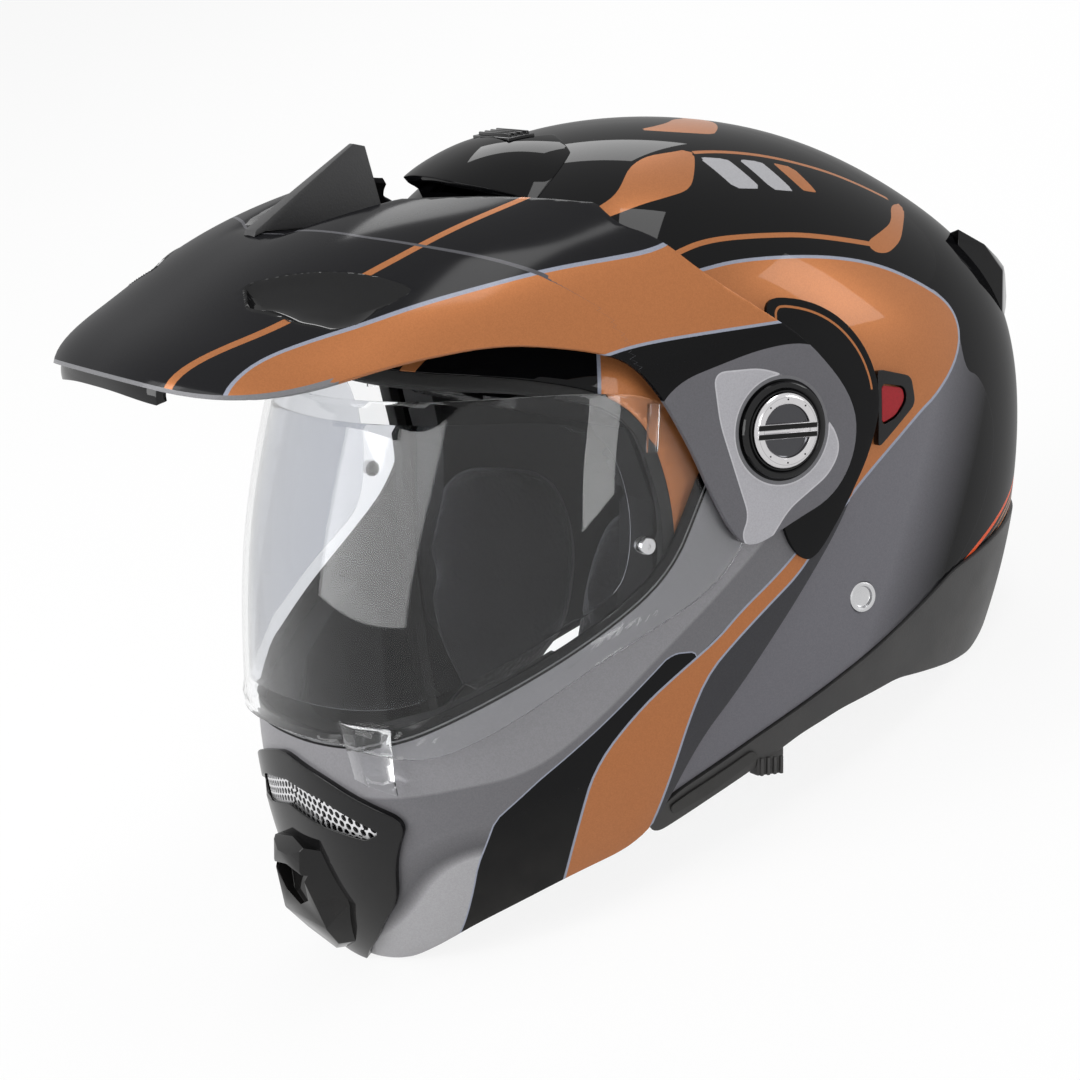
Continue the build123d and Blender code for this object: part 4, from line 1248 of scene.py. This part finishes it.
# %% Lay out the peak's paint
copper_plan = plan_half([(76, 216), (79, 204), (81, 192), (88, 173), (94, 157), (101, 130), (105, 108),
                         (109, 71), (112, 42), (108, 30), (100, -20), (160, -20), (160, 216)], 14)
copper_side = side([(-30, 44), (4, 41), (29, 39), (60, 36), (76, 32), (120, 20), (260, 0), (260, 140),
                    (-30, 140)], 16)
arm_grey = side([(56, 10), (45, 21), (28, 26), (10, 31), (-8, 33), (-21, 29), (-31, 20), (-60, 10),
                 (-60, -80), (60, -80)], 14)
arm_silver = side([(30, 23), (10, 23.5), (-2, 20), (0, 0), (-19, 3), (-23, -1), (-26, -9), (-21, -18),
                   (-3, -30), (6, -42), (11, -46), (18, -40), (14, -32), (18, -21), (27, 4)], 5)
stripe_along = [(66, 20), (72, 60), (75, 86), (80, 130), (79, 153), (77, 173), (68, 198), (50, 232)]
stripe_across = [(-10, 160), (48, 148), (77, 131), (97, 108), (108, 90)]
peak_low = side([(-60, -80), (-60, 60), (4, 41), (29, 39), (60, 36), (76, 32), (60, -80)], 4)
peak_side = side(peak_outline, 16)


def front_lip(spots):
    """Distance to the peak's front rim, where a painted highlight goes, and far from it further back."""
    return np.abs(peak_side(spots)) + (spots[:, 1] < 170) * far_off


stain(peak, copper=both(copper_plan, copper_side), low=peak_low, grey=arm_grey,
      silver=both(arm_silver, outside(disc(hinge_place, 21.4))), stripe=track(stripe_along, (0, 1)),
      stripe_room=plan_half([(20, 70), (20, 240), (110, 240), (110, 70)], 1),
      cross=track(stripe_across, (0, 1)), ring=disc(hinge_place, 20.6), lip=front_lip)
cover_rim, cover_room = side(cover_outline, grow=-3.2), side([(40, 12), (40, 80), (-80, 80), (-80, 12)], 1)
for hand, word in hands:
    stain(bpy.data.objects["cover_smooth_" + word], rim=cover_rim, rim_room=cover_room)


# %% [markdown]
# Two finishes need a few values more. The knob's hollow is darkened as painted shade, and its dark
# marks are told apart by the distance from its face. The weave of the straps runs along and across them,
# so each point stores both lengths.

# %% Hollow of the knobs and threads of the straps
def hollow(spots):
    """Deeper than 1.25 mm under the knob's face, and within 10.6 mm of its axis; it is painted shade."""
    return np.maximum(np.abs(spots[:, 0]) - top + 1.25, np.hypot(spots[:, 1], spots[:, 2]) - 10.6)


def raised(spots):
    """Within 0.14 mm of the knob's face or above it, as its small marks are."""
    return top - 0.14 - np.abs(spots[:, 0])


for hand, word in hands:
    stain(bpy.data.objects["knob_smooth_" + word], sunk=hollow, tick=raised)
    strap = bpy.data.objects["webbing_" + word]
    spots = drawn(read(strap.data.vertices, "co"))
    store(strap, {"along": np.hypot(spots[:, 0], spots[:, 2]), "across": spots[:, 1]})

# %% [markdown]
# Effects that many finishes share are node groups, each built once. A group gives only colours, masks and
# heights. Paint has flakes and a faint orange peel, moulded plastic has a fine grain, and what is near the
# ground gathers a little dust.

# %% Node groups
def added(tree, kind, **values):
    """New node with its settings, and its sockets by name with underscores for spaces."""
    node = tree.nodes.new("ShaderNode" + kind)
    for name, value in values.items():
        if hasattr(node, name):
            setattr(node, name, value)
        else:
            node.inputs[name.replace("_", " ")].default_value = value
    return node


def joint(tree, source, target):
    """Links an output to an input."""
    tree.links.new(source, target)


def feed(tree, value, target):
    """Links an input to an output, or sets it to a number."""
    if hasattr(value, "links"):
        joint(tree, value, target)
    else:
        target.default_value = value


def maths(tree, operation, one, two=0.0, clamp=False):
    """Math node whose two inputs are numbers or sockets."""
    node = added(tree, "Math", operation=operation, use_clamp=clamp)
    feed(tree, one, node.inputs[0])
    feed(tree, two, node.inputs[1])
    return node.outputs[0]


def inverse(tree, mask):
    """One where the mask is nothing."""
    return maths(tree, "SUBTRACT", 1.0, mask)


def effect(name, inputs, outputs):
    """Empty group with float inputs and their defaults, and named outputs."""
    group = bpy.data.node_groups.new(name, "ShaderNodeTree")
    for socket, default in inputs.items():
        made = group.interface.new_socket(socket, in_out="INPUT", socket_type="NodeSocketFloat")
        made.default_value = default
    for socket in outputs:
        group.interface.new_socket(socket, in_out="OUTPUT", socket_type="NodeSocketFloat")
    return group, group.nodes.new("NodeGroupInput").outputs, group.nodes.new("NodeGroupOutput").inputs


def pattern(tree, kind, scale, output, **settings):
    """Texture node on Object coordinates; a scale of 1000 has lumps or cells of about a millimetre."""
    node = added(tree, kind, **settings)
    joint(tree, added(tree, "TexCoord").outputs["Object"], node.inputs["Vector"])
    feed(tree, scale, node.inputs["Scale"])
    return node.outputs[output]


def noise(tree, scale, detail=2.0):
    """Cloudy noise."""
    return pattern(tree, "TexNoise", scale, "Fac", Detail=detail)


def cells(tree, scale, output="Distance"):
    """Cells round scattered points: the distance to the nearest point, or a colour for each cell."""
    return pattern(tree, "TexVoronoi", scale, output)


def around_one(tree, value, spread):
    """A tone to multiply by: a value about 0.5 made one about 1, with a given spread."""
    return maths(tree, "ADD", maths(tree, "MULTIPLY", maths(tree, "SUBTRACT", value, 0.5), spread), 1.0)


sprayed, given, gives = effect("sprayed_paint", {"Flake": 0.1}, ("Tone", "Height", "Roughness"))
speck = added(sprayed, "SeparateColor")
joint(sprayed, cells(sprayed, 2200, "Color"), speck.inputs[0])
joint(sprayed, around_one(sprayed, speck.outputs[0], given["Flake"]), gives["Tone"])
joint(sprayed, maths(sprayed, "MULTIPLY", noise(sprayed, 380, 1.0), 0.5), gives["Height"])
joint(sprayed, maths(sprayed, "MULTIPLY", noise(sprayed, 28, 4.0), 0.16), gives["Roughness"])

grain_inputs = {"Scale": 900.0, "Contrast": 0.5}
moulded, given, gives = effect("moulded_grain", grain_inputs, ("Tone", "Height", "Roughness"))
grain = noise(moulded, given["Scale"], 3.0)
joint(moulded, around_one(moulded, grain, given["Contrast"]), gives["Tone"])
joint(moulded, grain, gives["Height"])
joint(moulded, maths(moulded, "MULTIPLY", noise(moulded, 40, 3.0), 0.22), gives["Roughness"])

dusty, given, gives = effect("dust_low_down", {"Top": 0.05, "Amount": 0.3}, ("Mask",))
place = added(dusty, "SeparateXYZ")
joint(dusty, added(dusty, "TexCoord").outputs["Object"], place.inputs[0])
under = maths(dusty, "SUBTRACT", given["Top"], place.outputs["Z"])
patchy = maths(dusty, "MULTIPLY", maths(dusty, "DIVIDE", under, given["Top"], True), noise(dusty, 60, 5.0))
joint(dusty, maths(dusty, "MULTIPLY", patchy, given["Amount"], True), gives["Mask"])

woven, given, gives = effect("woven_band", {"Pitch": 1.6}, ("Tone", "Height"))
waves = []
for word in ("along", "across"):
    thread = added(woven, "Attribute", attribute_name=word)
    turn = maths(woven, "DIVIDE", thread.outputs["Fac"], given["Pitch"])
    waves.append(maths(woven, "SINE", maths(woven, "MULTIPLY", turn, 2 * np.pi)))
weft = maths(woven, "MULTIPLY", waves[0], waves[1])
height = maths(woven, "ADD", maths(woven, "MULTIPLY", weft, 0.5), 0.5)
joint(woven, height, gives["Height"])
joint(woven, maths(woven, "ADD", maths(woven, "MULTIPLY", height, 0.5), 0.6), gives["Tone"])

knitted, given, gives = effect("knitted_mesh", {"Scale": 420.0}, ("Tone", "Height"))
loop = maths(knitted, "SUBTRACT", 1.0, maths(knitted, "MULTIPLY", cells(knitted, given["Scale"]), 1.4), True)
fuzz = maths(knitted, "MULTIPLY", noise(knitted, 2400, 2.0), 0.4)
joint(knitted, maths(knitted, "ADD", loop, fuzz), gives["Height"])
joint(knitted, maths(knitted, "ADD", maths(knitted, "MULTIPLY", loop, 0.5), 0.55), gives["Tone"])
print("node groups:", ", ".join(group.name for group in bpy.data.node_groups))

# %% [markdown]
# A painted finish starts from its base colour and lays one stripe after another over it, as a sprayer does
# with masking tape. Copper and silver have some metal in them. Clear coat lies over everything, and its own
# gloss is set on the shader, so that it survives the export.

# %% Painted finishes
finishes = {}


def new_finish(name, rough=0.4, **constants):
    """Tree and shader of a new finish, with the shader's constant sockets set by name."""
    finishes[name] = bpy.data.materials.new(name)
    finishes[name].use_nodes = True
    tree = finishes[name].node_tree
    shader = tree.nodes["Principled BSDF"]
    shader.inputs["Roughness"].default_value = rough
    for socket, value in constants.items():
        shader.inputs[socket.replace("_", " ")].default_value = value
    return tree, shader


def group_node(tree, group, **values):
    """A group placed in a material, with its own values."""
    node = added(tree, "Group", node_tree=group)
    for socket, value in values.items():
        node.inputs[socket].default_value = value
    return node


def plain(tree, colour):
    """Output of a colour that is the same all over."""
    node = added(tree, "RGB")
    node.outputs[0].default_value = (*colour, 1)
    return node.outputs[0]


def toned(tree, colour, tone):
    """A colour, or a socket of one, times a tone."""
    mix = added(tree, "Mix", data_type="RGBA", blend_type="MULTIPLY")
    mix.inputs["Factor"].default_value = 1
    feed(tree, colour if hasattr(colour, "links") else (*colour, 1), mix.inputs[6])
    joint(tree, tone, mix.inputs[7])
    return mix.outputs[2]


def laid(tree, under, mask, colour):
    """A colour laid over what is under it, where the mask is one."""
    mix = added(tree, "Mix", data_type="RGBA")
    joint(tree, mask, mix.inputs["Factor"])
    joint(tree, under, mix.inputs[6])
    mix.inputs[7].default_value = (*colour, 1)
    return mix.outputs[2]


def below(tree, name, least=-0.06, most=0.06, shift=0.0):
    """Mask that rises to one as an attribute's distance falls from most to least, both moved by a shift."""
    layer = added(tree, "Attribute", attribute_name=name)
    edge = added(tree, "MapRange", clamp=True)
    edge.inputs["From Min"].default_value, edge.inputs["From Max"].default_value = most + shift, least + shift
    joint(tree, layer.outputs["Fac"], edge.inputs["Value"])
    return edge.outputs["Result"]


def bumped(tree, shader, height, strength, distance):
    """Small relief from a height."""
    bump = added(tree, "Bump", Strength=strength, Distance=distance)
    joint(tree, height, bump.inputs["Height"])
    joint(tree, bump.outputs[0], shader.inputs["Normal"])


def line_mask(tree, attribute, half, room):
    """Mask of a line either side of an attribute's zero, kept inside a room when one is named."""
    one = below(tree, attribute, shift=half)
    other = below(tree, attribute, shift=-half)
    mask = maths(tree, "SUBTRACT", one, other, True)
    return maths(tree, "MULTIPLY", mask, below(tree, room)) if room else mask


def painted(name, base, layers, rough=0.32, dust=0.0, **constants):
    """Clear-coated paint: each layer is (colour, share of metal, function that makes its mask)."""
    tree, shader = new_finish(name, rough, **constants)
    spray = group_node(tree, sprayed, Flake=0.12)
    colour, metal = plain(tree, base), added(tree, "Value").outputs[0]
    for tint, share, make in layers:
        mask = make(tree)
        colour = laid(tree, colour, mask, tint)
        metal = maths(tree, "MULTIPLY", metal, inverse(tree, mask))
        if share:
            metal = maths(tree, "ADD", metal, maths(tree, "MULTIPLY", mask, share))
    bare = below(tree, "facing", -1.2, -0.8)
    colour = laid(tree, toned(tree, colour, spray.outputs["Tone"]), bare, bare_plastic)
    if dust:
        settled = group_node(tree, dusty, Top=0.06, Amount=dust)
        colour = laid(tree, colour, settled.outputs["Mask"], (0.32, 0.30, 0.27))
    joint(tree, colour, shader.inputs["Base Color"])
    joint(tree, maths(tree, "MULTIPLY", metal, inverse(tree, bare)), shader.inputs["Metallic"])
    haze = maths(tree, "ADD", spray.outputs["Roughness"], rough - 0.08)
    haze = maths(tree, "ADD", haze, maths(tree, "MULTIPLY", bare, 0.3))
    joint(tree, haze, shader.inputs["Roughness"])
    coat = maths(tree, "MULTIPLY", inverse(tree, bare), constants["Coat_Weight"])
    joint(tree, coat, shader.inputs["Coat Weight"])
    bumped(tree, shader, spray.outputs["Height"], 0.06, 0.0004)


def area(attribute, grow=0.0):
    """Mask of a painted shape, which may be grown."""
    return lambda tree: below(tree, attribute, shift=grow)


def band(one, other, grow=0.0):
    """Mask between two edges."""
    return lambda tree: maths(tree, "MULTIPLY", below(tree, one, shift=grow), below(tree, other, shift=grow))


def stripe(attribute, half, room=None):
    """Mask of a line of a given half width."""
    return lambda tree: line_mask(tree, attribute, half, room)


def soft(attribute, room, least, most):
    """Mask rising from one distance down to another, inside a room: a painted highlight, or a slow fade."""
    return lambda tree: maths(tree, "MULTIPLY", below(tree, attribute, least, most), below(tree, room))


def ridge(attribute, room):
    """Soft band along an edge, for the painted shade under a fold."""
    def make(tree):
        mask = maths(tree, "SUBTRACT", below(tree, attribute, -3, 5), below(tree, attribute, -8, -3), True)
        return maths(tree, "MULTIPLY", mask, below(tree, room))
    return make


def hatched(tree):
    """Fine slanted lines 2.6 mm apart inside their room: a sine of the way across them, in centimetres."""
    way, turn_per_centimetre = added(tree, "Attribute", attribute_name="hatch"), 24
    wave = maths(tree, "SINE", maths(tree, "MULTIPLY", way.outputs["Fac"], turn_per_centimetre))
    return maths(tree, "MULTIPLY", maths(tree, "GREATER_THAN", wave, 0.45), below(tree, "hatch_room"))


copper, light_line, orange = (0.40, 0.150, 0.055), (0.30, 0.32, 0.39), (0.75, 0.09, 0.02)
ink, charcoal, bare_plastic = (0.003, 0.003, 0.0035), (0.010, 0.010, 0.0115), (0.012, 0.012, 0.013)
deep_grey, mid_grey, seam_grey = (0.045, 0.045, 0.05), (0.15, 0.148, 0.165), (0.16, 0.16, 0.165)
silver, silver_crease_highlight = (0.15, 0.148, 0.158), (0.24, 0.237, 0.25)
silver_fold_highlight, silver_fold_shade = (0.36, 0.357, 0.37), (0.10, 0.099, 0.106)
arm_tone, arm_edge, plate_tone = (0.13, 0.128, 0.14), (0.50, 0.495, 0.52), (0.40, 0.395, 0.42)
gloss = {"Coat_Weight": 0.3, "Coat_Roughness": 0.02, "Coat_IOR": 1.5, "Specular_IOR_Level": 0.0}
satin = gloss | {"Coat_Weight": 0.24, "Coat_Roughness": 0.12}
painted("shell_paint", ink, [
    (mid_grey, 0.1, area("panel")), (ink, 0, soft("fade", "panel", -9, 9)),
    (light_line, 0.1, area("swoosh", 1.2)), (copper, 0.35, area("swoosh")), (copper, 0.3, area("blocks")),
    (copper, 0.3, stripe("thin", 0.9, "thin_room")), (copper, 0.3, stripe("fine", 0.5, "fine_room")),
    ((0.42, 0.42, 0.44), 0.1, area("bars")), (copper, 0.2, hatched),
    (orange, 0, stripe("rear", 0.9, "rear_room"))], **gloss)
painted("chin_paint", deep_grey, [
    # Crease and fold: painted highlight beside the crease and on the fold, painted shade along the fold.
    (silver, 0.25, area("silver")), (silver_crease_highlight, 0.25, soft("crease", "silver", -0.6, 0.6)),
    (silver_fold_highlight, 0.2, soft("fold", "silver", -8, -3)), (silver_fold_shade, 0.2, ridge("fold", "silver")),
    (ink, 0, area("lip", 4.5)), (seam_grey, 0, stripe("lip", 3.6)), (ink, 0, area("lip", 3.0)),
    (light_line, 0.1, area("black", 0.5)), (ink, 0, area("black")),
    (light_line, 0.1, band("copper_front", "copper_back", 0.9)),
    (copper, 0.35, band("copper_front", "copper_back"))], dust=0.1, **gloss)
painted("peak_paint", charcoal, [
    (ink, 0, area("low")), (light_line, 0.1, area("copper", 1.1)), (copper, 0.35, area("copper")),
    (copper, 0.3, stripe("stripe", 1.3, "stripe_room")), ((0.10, 0.10, 0.11), 0, stripe("cross", 0.6)),
    (arm_tone, 0.2, area("grey")), (arm_edge, 0.2, area("silver", 0.6)), (plate_tone, 0.2, area("silver")),
    ((0.16, 0.16, 0.17), 0.2, area("ring")), (ink, 0, area("ring", -1.2)),
    # The lighter grey along the front rim is a painted highlight.
    ((0.20, 0.20, 0.21), 0.1, area("lip", 1.6))], rough=0.40, **satin)
painted("cover_paint", ink, [(copper, 0.3, stripe("rim", 0.45, "rim_room"))], **gloss)

# %% [markdown]
# The other finishes are simpler. Moulded plastic and rubber differ in how fine and how deep their grain is.
# Metal is nearly even, because grain in its colour would look like marble. Glass stays a plain clear shader
# with the faintest smudges, and cloth has a soft sheen over its knit or weave.

# %% Plastic, rubber, metal and glass
def plastic(name, colour, rough, scale=900.0, depth=0.25, dust=0.0, **constants):
    """Moulded plastic or rubber: tone, fine grain and a little dust low down."""
    tree, shader = new_finish(name, rough, **constants)
    grain_node = group_node(tree, moulded, Scale=scale)
    tint = toned(tree, colour, grain_node.outputs["Tone"])
    if dust:
        settled = group_node(tree, dusty, Top=0.07, Amount=dust)
        tint = laid(tree, tint, settled.outputs["Mask"], (0.25, 0.23, 0.20))
    joint(tree, tint, shader.inputs["Base Color"])
    joint(tree, maths(tree, "ADD", grain_node.outputs["Roughness"], rough - 0.1), shader.inputs["Roughness"])
    bumped(tree, shader, grain_node.outputs["Height"], depth, 0.0002)


def metal(name, colour, rough, scale=300.0, marks=()):
    """Metal with fine rubbing marks; marks are (attribute, colour) masks over it: ticks or painted shade."""
    tree, shader = new_finish(name, rough, Metallic=1.0)
    grain_node = group_node(tree, moulded, Scale=scale, Contrast=0.08)
    tint = plain(tree, colour)
    for attribute, dark in marks:
        tint = laid(tree, tint, below(tree, attribute), dark)
    joint(tree, toned(tree, tint, grain_node.outputs["Tone"]), shader.inputs["Base Color"])
    joint(tree, maths(tree, "ADD", grain_node.outputs["Roughness"], rough - 0.08), shader.inputs["Roughness"])
    bumped(tree, shader, grain_node.outputs["Height"], 0.03, 0.0002)


def glass(name, colour, index=1.3, rough=0.0, smudge=0.006):
    """Clear moulded lens with faint smudges in its gloss."""
    tree, shader = new_finish(name, rough, Transmission_Weight=1.0, IOR=index)
    film = noise(tree, 26, 4.0)
    smeared = maths(tree, "MULTIPLY", maths(tree, "SUBTRACT", film, 0.5, True), smudge)
    joint(tree, smeared, shader.inputs["Roughness"])
    place = added(tree, "MapRange", To_Min=0.985, To_Max=1.0)
    joint(tree, film, place.inputs["Value"])
    joint(tree, toned(tree, colour, place.outputs["Result"]), shader.inputs["Base Color"])


def cloth(name, group, colour, rough, depth, distance, **values):
    """Textile: a group's tone in its colour and its height as bump, with a soft sheen."""
    tree, shader = new_finish(name, rough, Sheen_Weight=0.25)
    weave = group_node(tree, group, **values)
    joint(tree, toned(tree, colour, weave.outputs["Tone"]), shader.inputs["Base Color"])
    bumped(tree, shader, weave.outputs["Height"], depth, distance)


plastic("black_gloss", (0.004, 0.004, 0.0045), 0.24, 300.0, 0.03, 0.06, **(gloss | {"Coat_Weight": 0.6}))
plastic("black_matt", (0.018, 0.018, 0.019), 0.52, 1100.0, 0.35, 0.15)
plastic("soft_black", (0.014, 0.014, 0.014), 0.66, 700.0, 0.3, 0.1)
plastic("signal_red", (0.30, 0.008, 0.014), 0.35, 800.0, 0.12, Coat_Weight=0.3, Specular_IOR_Level=0.1)
plastic("foam", (0.010, 0.010, 0.0105), 0.8, 420.0, 0.4)
# The hollow of the knob is darkened as painted shade; the ticks are its dark marks.
knob_shade_and_ticks = [("sunk", (0.07, 0.07, 0.075)), ("tick", (0.02, 0.02, 0.02))]
metal("chrome", (0.60, 0.59, 0.60), 0.14, marks=knob_shade_and_ticks)
metal("steel", (0.55, 0.55, 0.56), 0.24)
metal("mesh_steel", (0.70, 0.70, 0.71), 0.34)
glass("clear", (0.97, 0.975, 0.98))
glass("fog_clear", (0.74, 0.75, 0.78), 1.12)
glass("smoke", (0.22, 0.22, 0.24), 1.2)
cloth("pad_cloth", knitted, (0.022, 0.022, 0.025), 0.9, 0.5, 0.0006)
cloth("webbing", woven, (0.015, 0.015, 0.016), 0.85, 0.5, 0.0004)

# %% [markdown]
# The record already says which finish each CAD node has, so one loop dresses them all and the new pieces with
# them. Three pieces have a finish of their own: the anti-fog lens and the two pivot covers.

# %% Dress every piece
by_node = {row["node"]: row["material_slot"] for row in frame["record"]["subparts"]}
own_finish = {"fog_lens": "fog_clear", "cover_smooth_left": "cover_paint",
              "cover_smooth_right": "cover_paint"}
for thing in bpy.data.objects:
    if thing.type == "MESH":
        word = by_node.get(thing.get("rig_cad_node"), thing.get("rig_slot"))
        thing.data.materials.clear()
        thing.data.materials.append(finishes[own_finish.get(thing.name, word)])
print(len(finishes), "finishes")

# %% [markdown]
# The picture is a product shot on white. The floor and the world glow white only for the camera and for
# rays that come off a gloss or through glass. Everything else gets a dimmer light, so the helmet keeps its
# shadow and its colours don't wash out. Six soft boxes then draw the bright shapes that a glossy shell
# needs.

# %% Floor and background
def shows_white(tree):
    """One for rays from the camera, off a gloss or through glass."""
    rays = added(tree, "LightPath").outputs
    bent = maths(tree, "MAXIMUM", rays["Is Glossy Ray"], rays["Is Transmission Ray"])
    return maths(tree, "MAXIMUM", rays["Is Camera Ray"], bent)


floor_half, glow_share, dim_world = 30, 0.88, 0.4
floor_mesh = bpy.data.meshes.new("floor")
corners = [(x * floor_half, y * floor_half, 0) for x, y in ((-1, -1), (1, -1), (1, 1), (-1, 1))]
floor_mesh.from_pydata(corners, [], [(0, 1, 2, 3)])
linked("floor", floor_mesh)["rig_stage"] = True
tree, shader = new_finish("floor_paint", 0.9, Base_Color=(0.9, 0.9, 0.9, 1))
mix = added(tree, "MixShader")
joint(tree, maths(tree, "MULTIPLY", shows_white(tree), glow_share), mix.inputs[0])
joint(tree, shader.outputs[0], mix.inputs[1])
joint(tree, added(tree, "Emission", Color=(1, 1, 1, 1)).outputs[0], mix.inputs[2])
joint(tree, mix.outputs[0], tree.nodes["Material Output"].inputs[0])
floor_mesh.materials.append(finishes["floor_paint"])

world = bpy.data.worlds.new("studio")
bpy.context.scene.world = world
world.use_nodes = True
sky = world.node_tree.nodes["Background"]
sky.inputs["Color"].default_value = (1, 1, 1, 1)
level = added(world.node_tree, "MapRange", To_Min=dim_world, To_Max=1.0)
joint(world.node_tree, shows_white(world.node_tree), level.inputs["Value"])
joint(world.node_tree, level.outputs[0], sky.inputs["Strength"])

# %% [markdown]
# Each soft box is a rectangular area lamp. The large front one stands where its light meets the silver of the
# chin bar and the arms, and the narrow ones draw long highlights on the black shell.

# %% Lamps
def soft_light(name, spot, aim, wide, tall, power):
    """Rectangular area lamp at a spot, aimed at a point."""
    data = bpy.data.lights.new(name, "AREA")
    data.shape, data.size, data.size_y, data.energy = "RECTANGLE", wide, tall, power
    away = Vector(spot) - Vector(aim)
    turned_away = away.to_track_quat("Z", "Y").to_matrix().to_4x4()
    linked(name, data).matrix_world = Matrix.Translation(spot) @ turned_away


middle = (0, 0, 0.15)
soft_light("key", (-0.6, -1.6, 1.5), middle, 0.5, 0.5, 4)
soft_light("front", placed((-250, 1650, 150))[0], placed((80, 130, -50))[0], 1.4, 0.9, 17)
soft_light("side_fill", (1.9, -0.5, 0.7), middle, 0.3, 1.1, 6)
soft_light("top", (0.5, 0.7, 1.8), middle, 0.9, 0.45, 9)
soft_light("back", (-1.3, 1.1, 1.3), middle, 0.8, 0.6, 9)
soft_light("rear_side", (1.0, 1.5, 0.5), middle, 0.4, 0.8, 5)
bpy.context.scene.view_settings.view_transform = "Standard"

# %% Boxes of the frame and of the dressed helmet
low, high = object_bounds()
{"cad": [list(corner) for corner in cad_box], "visual": [list(low), list(high)]}
print("visual box:", [round(v, 4) for v in (*low, *high)])
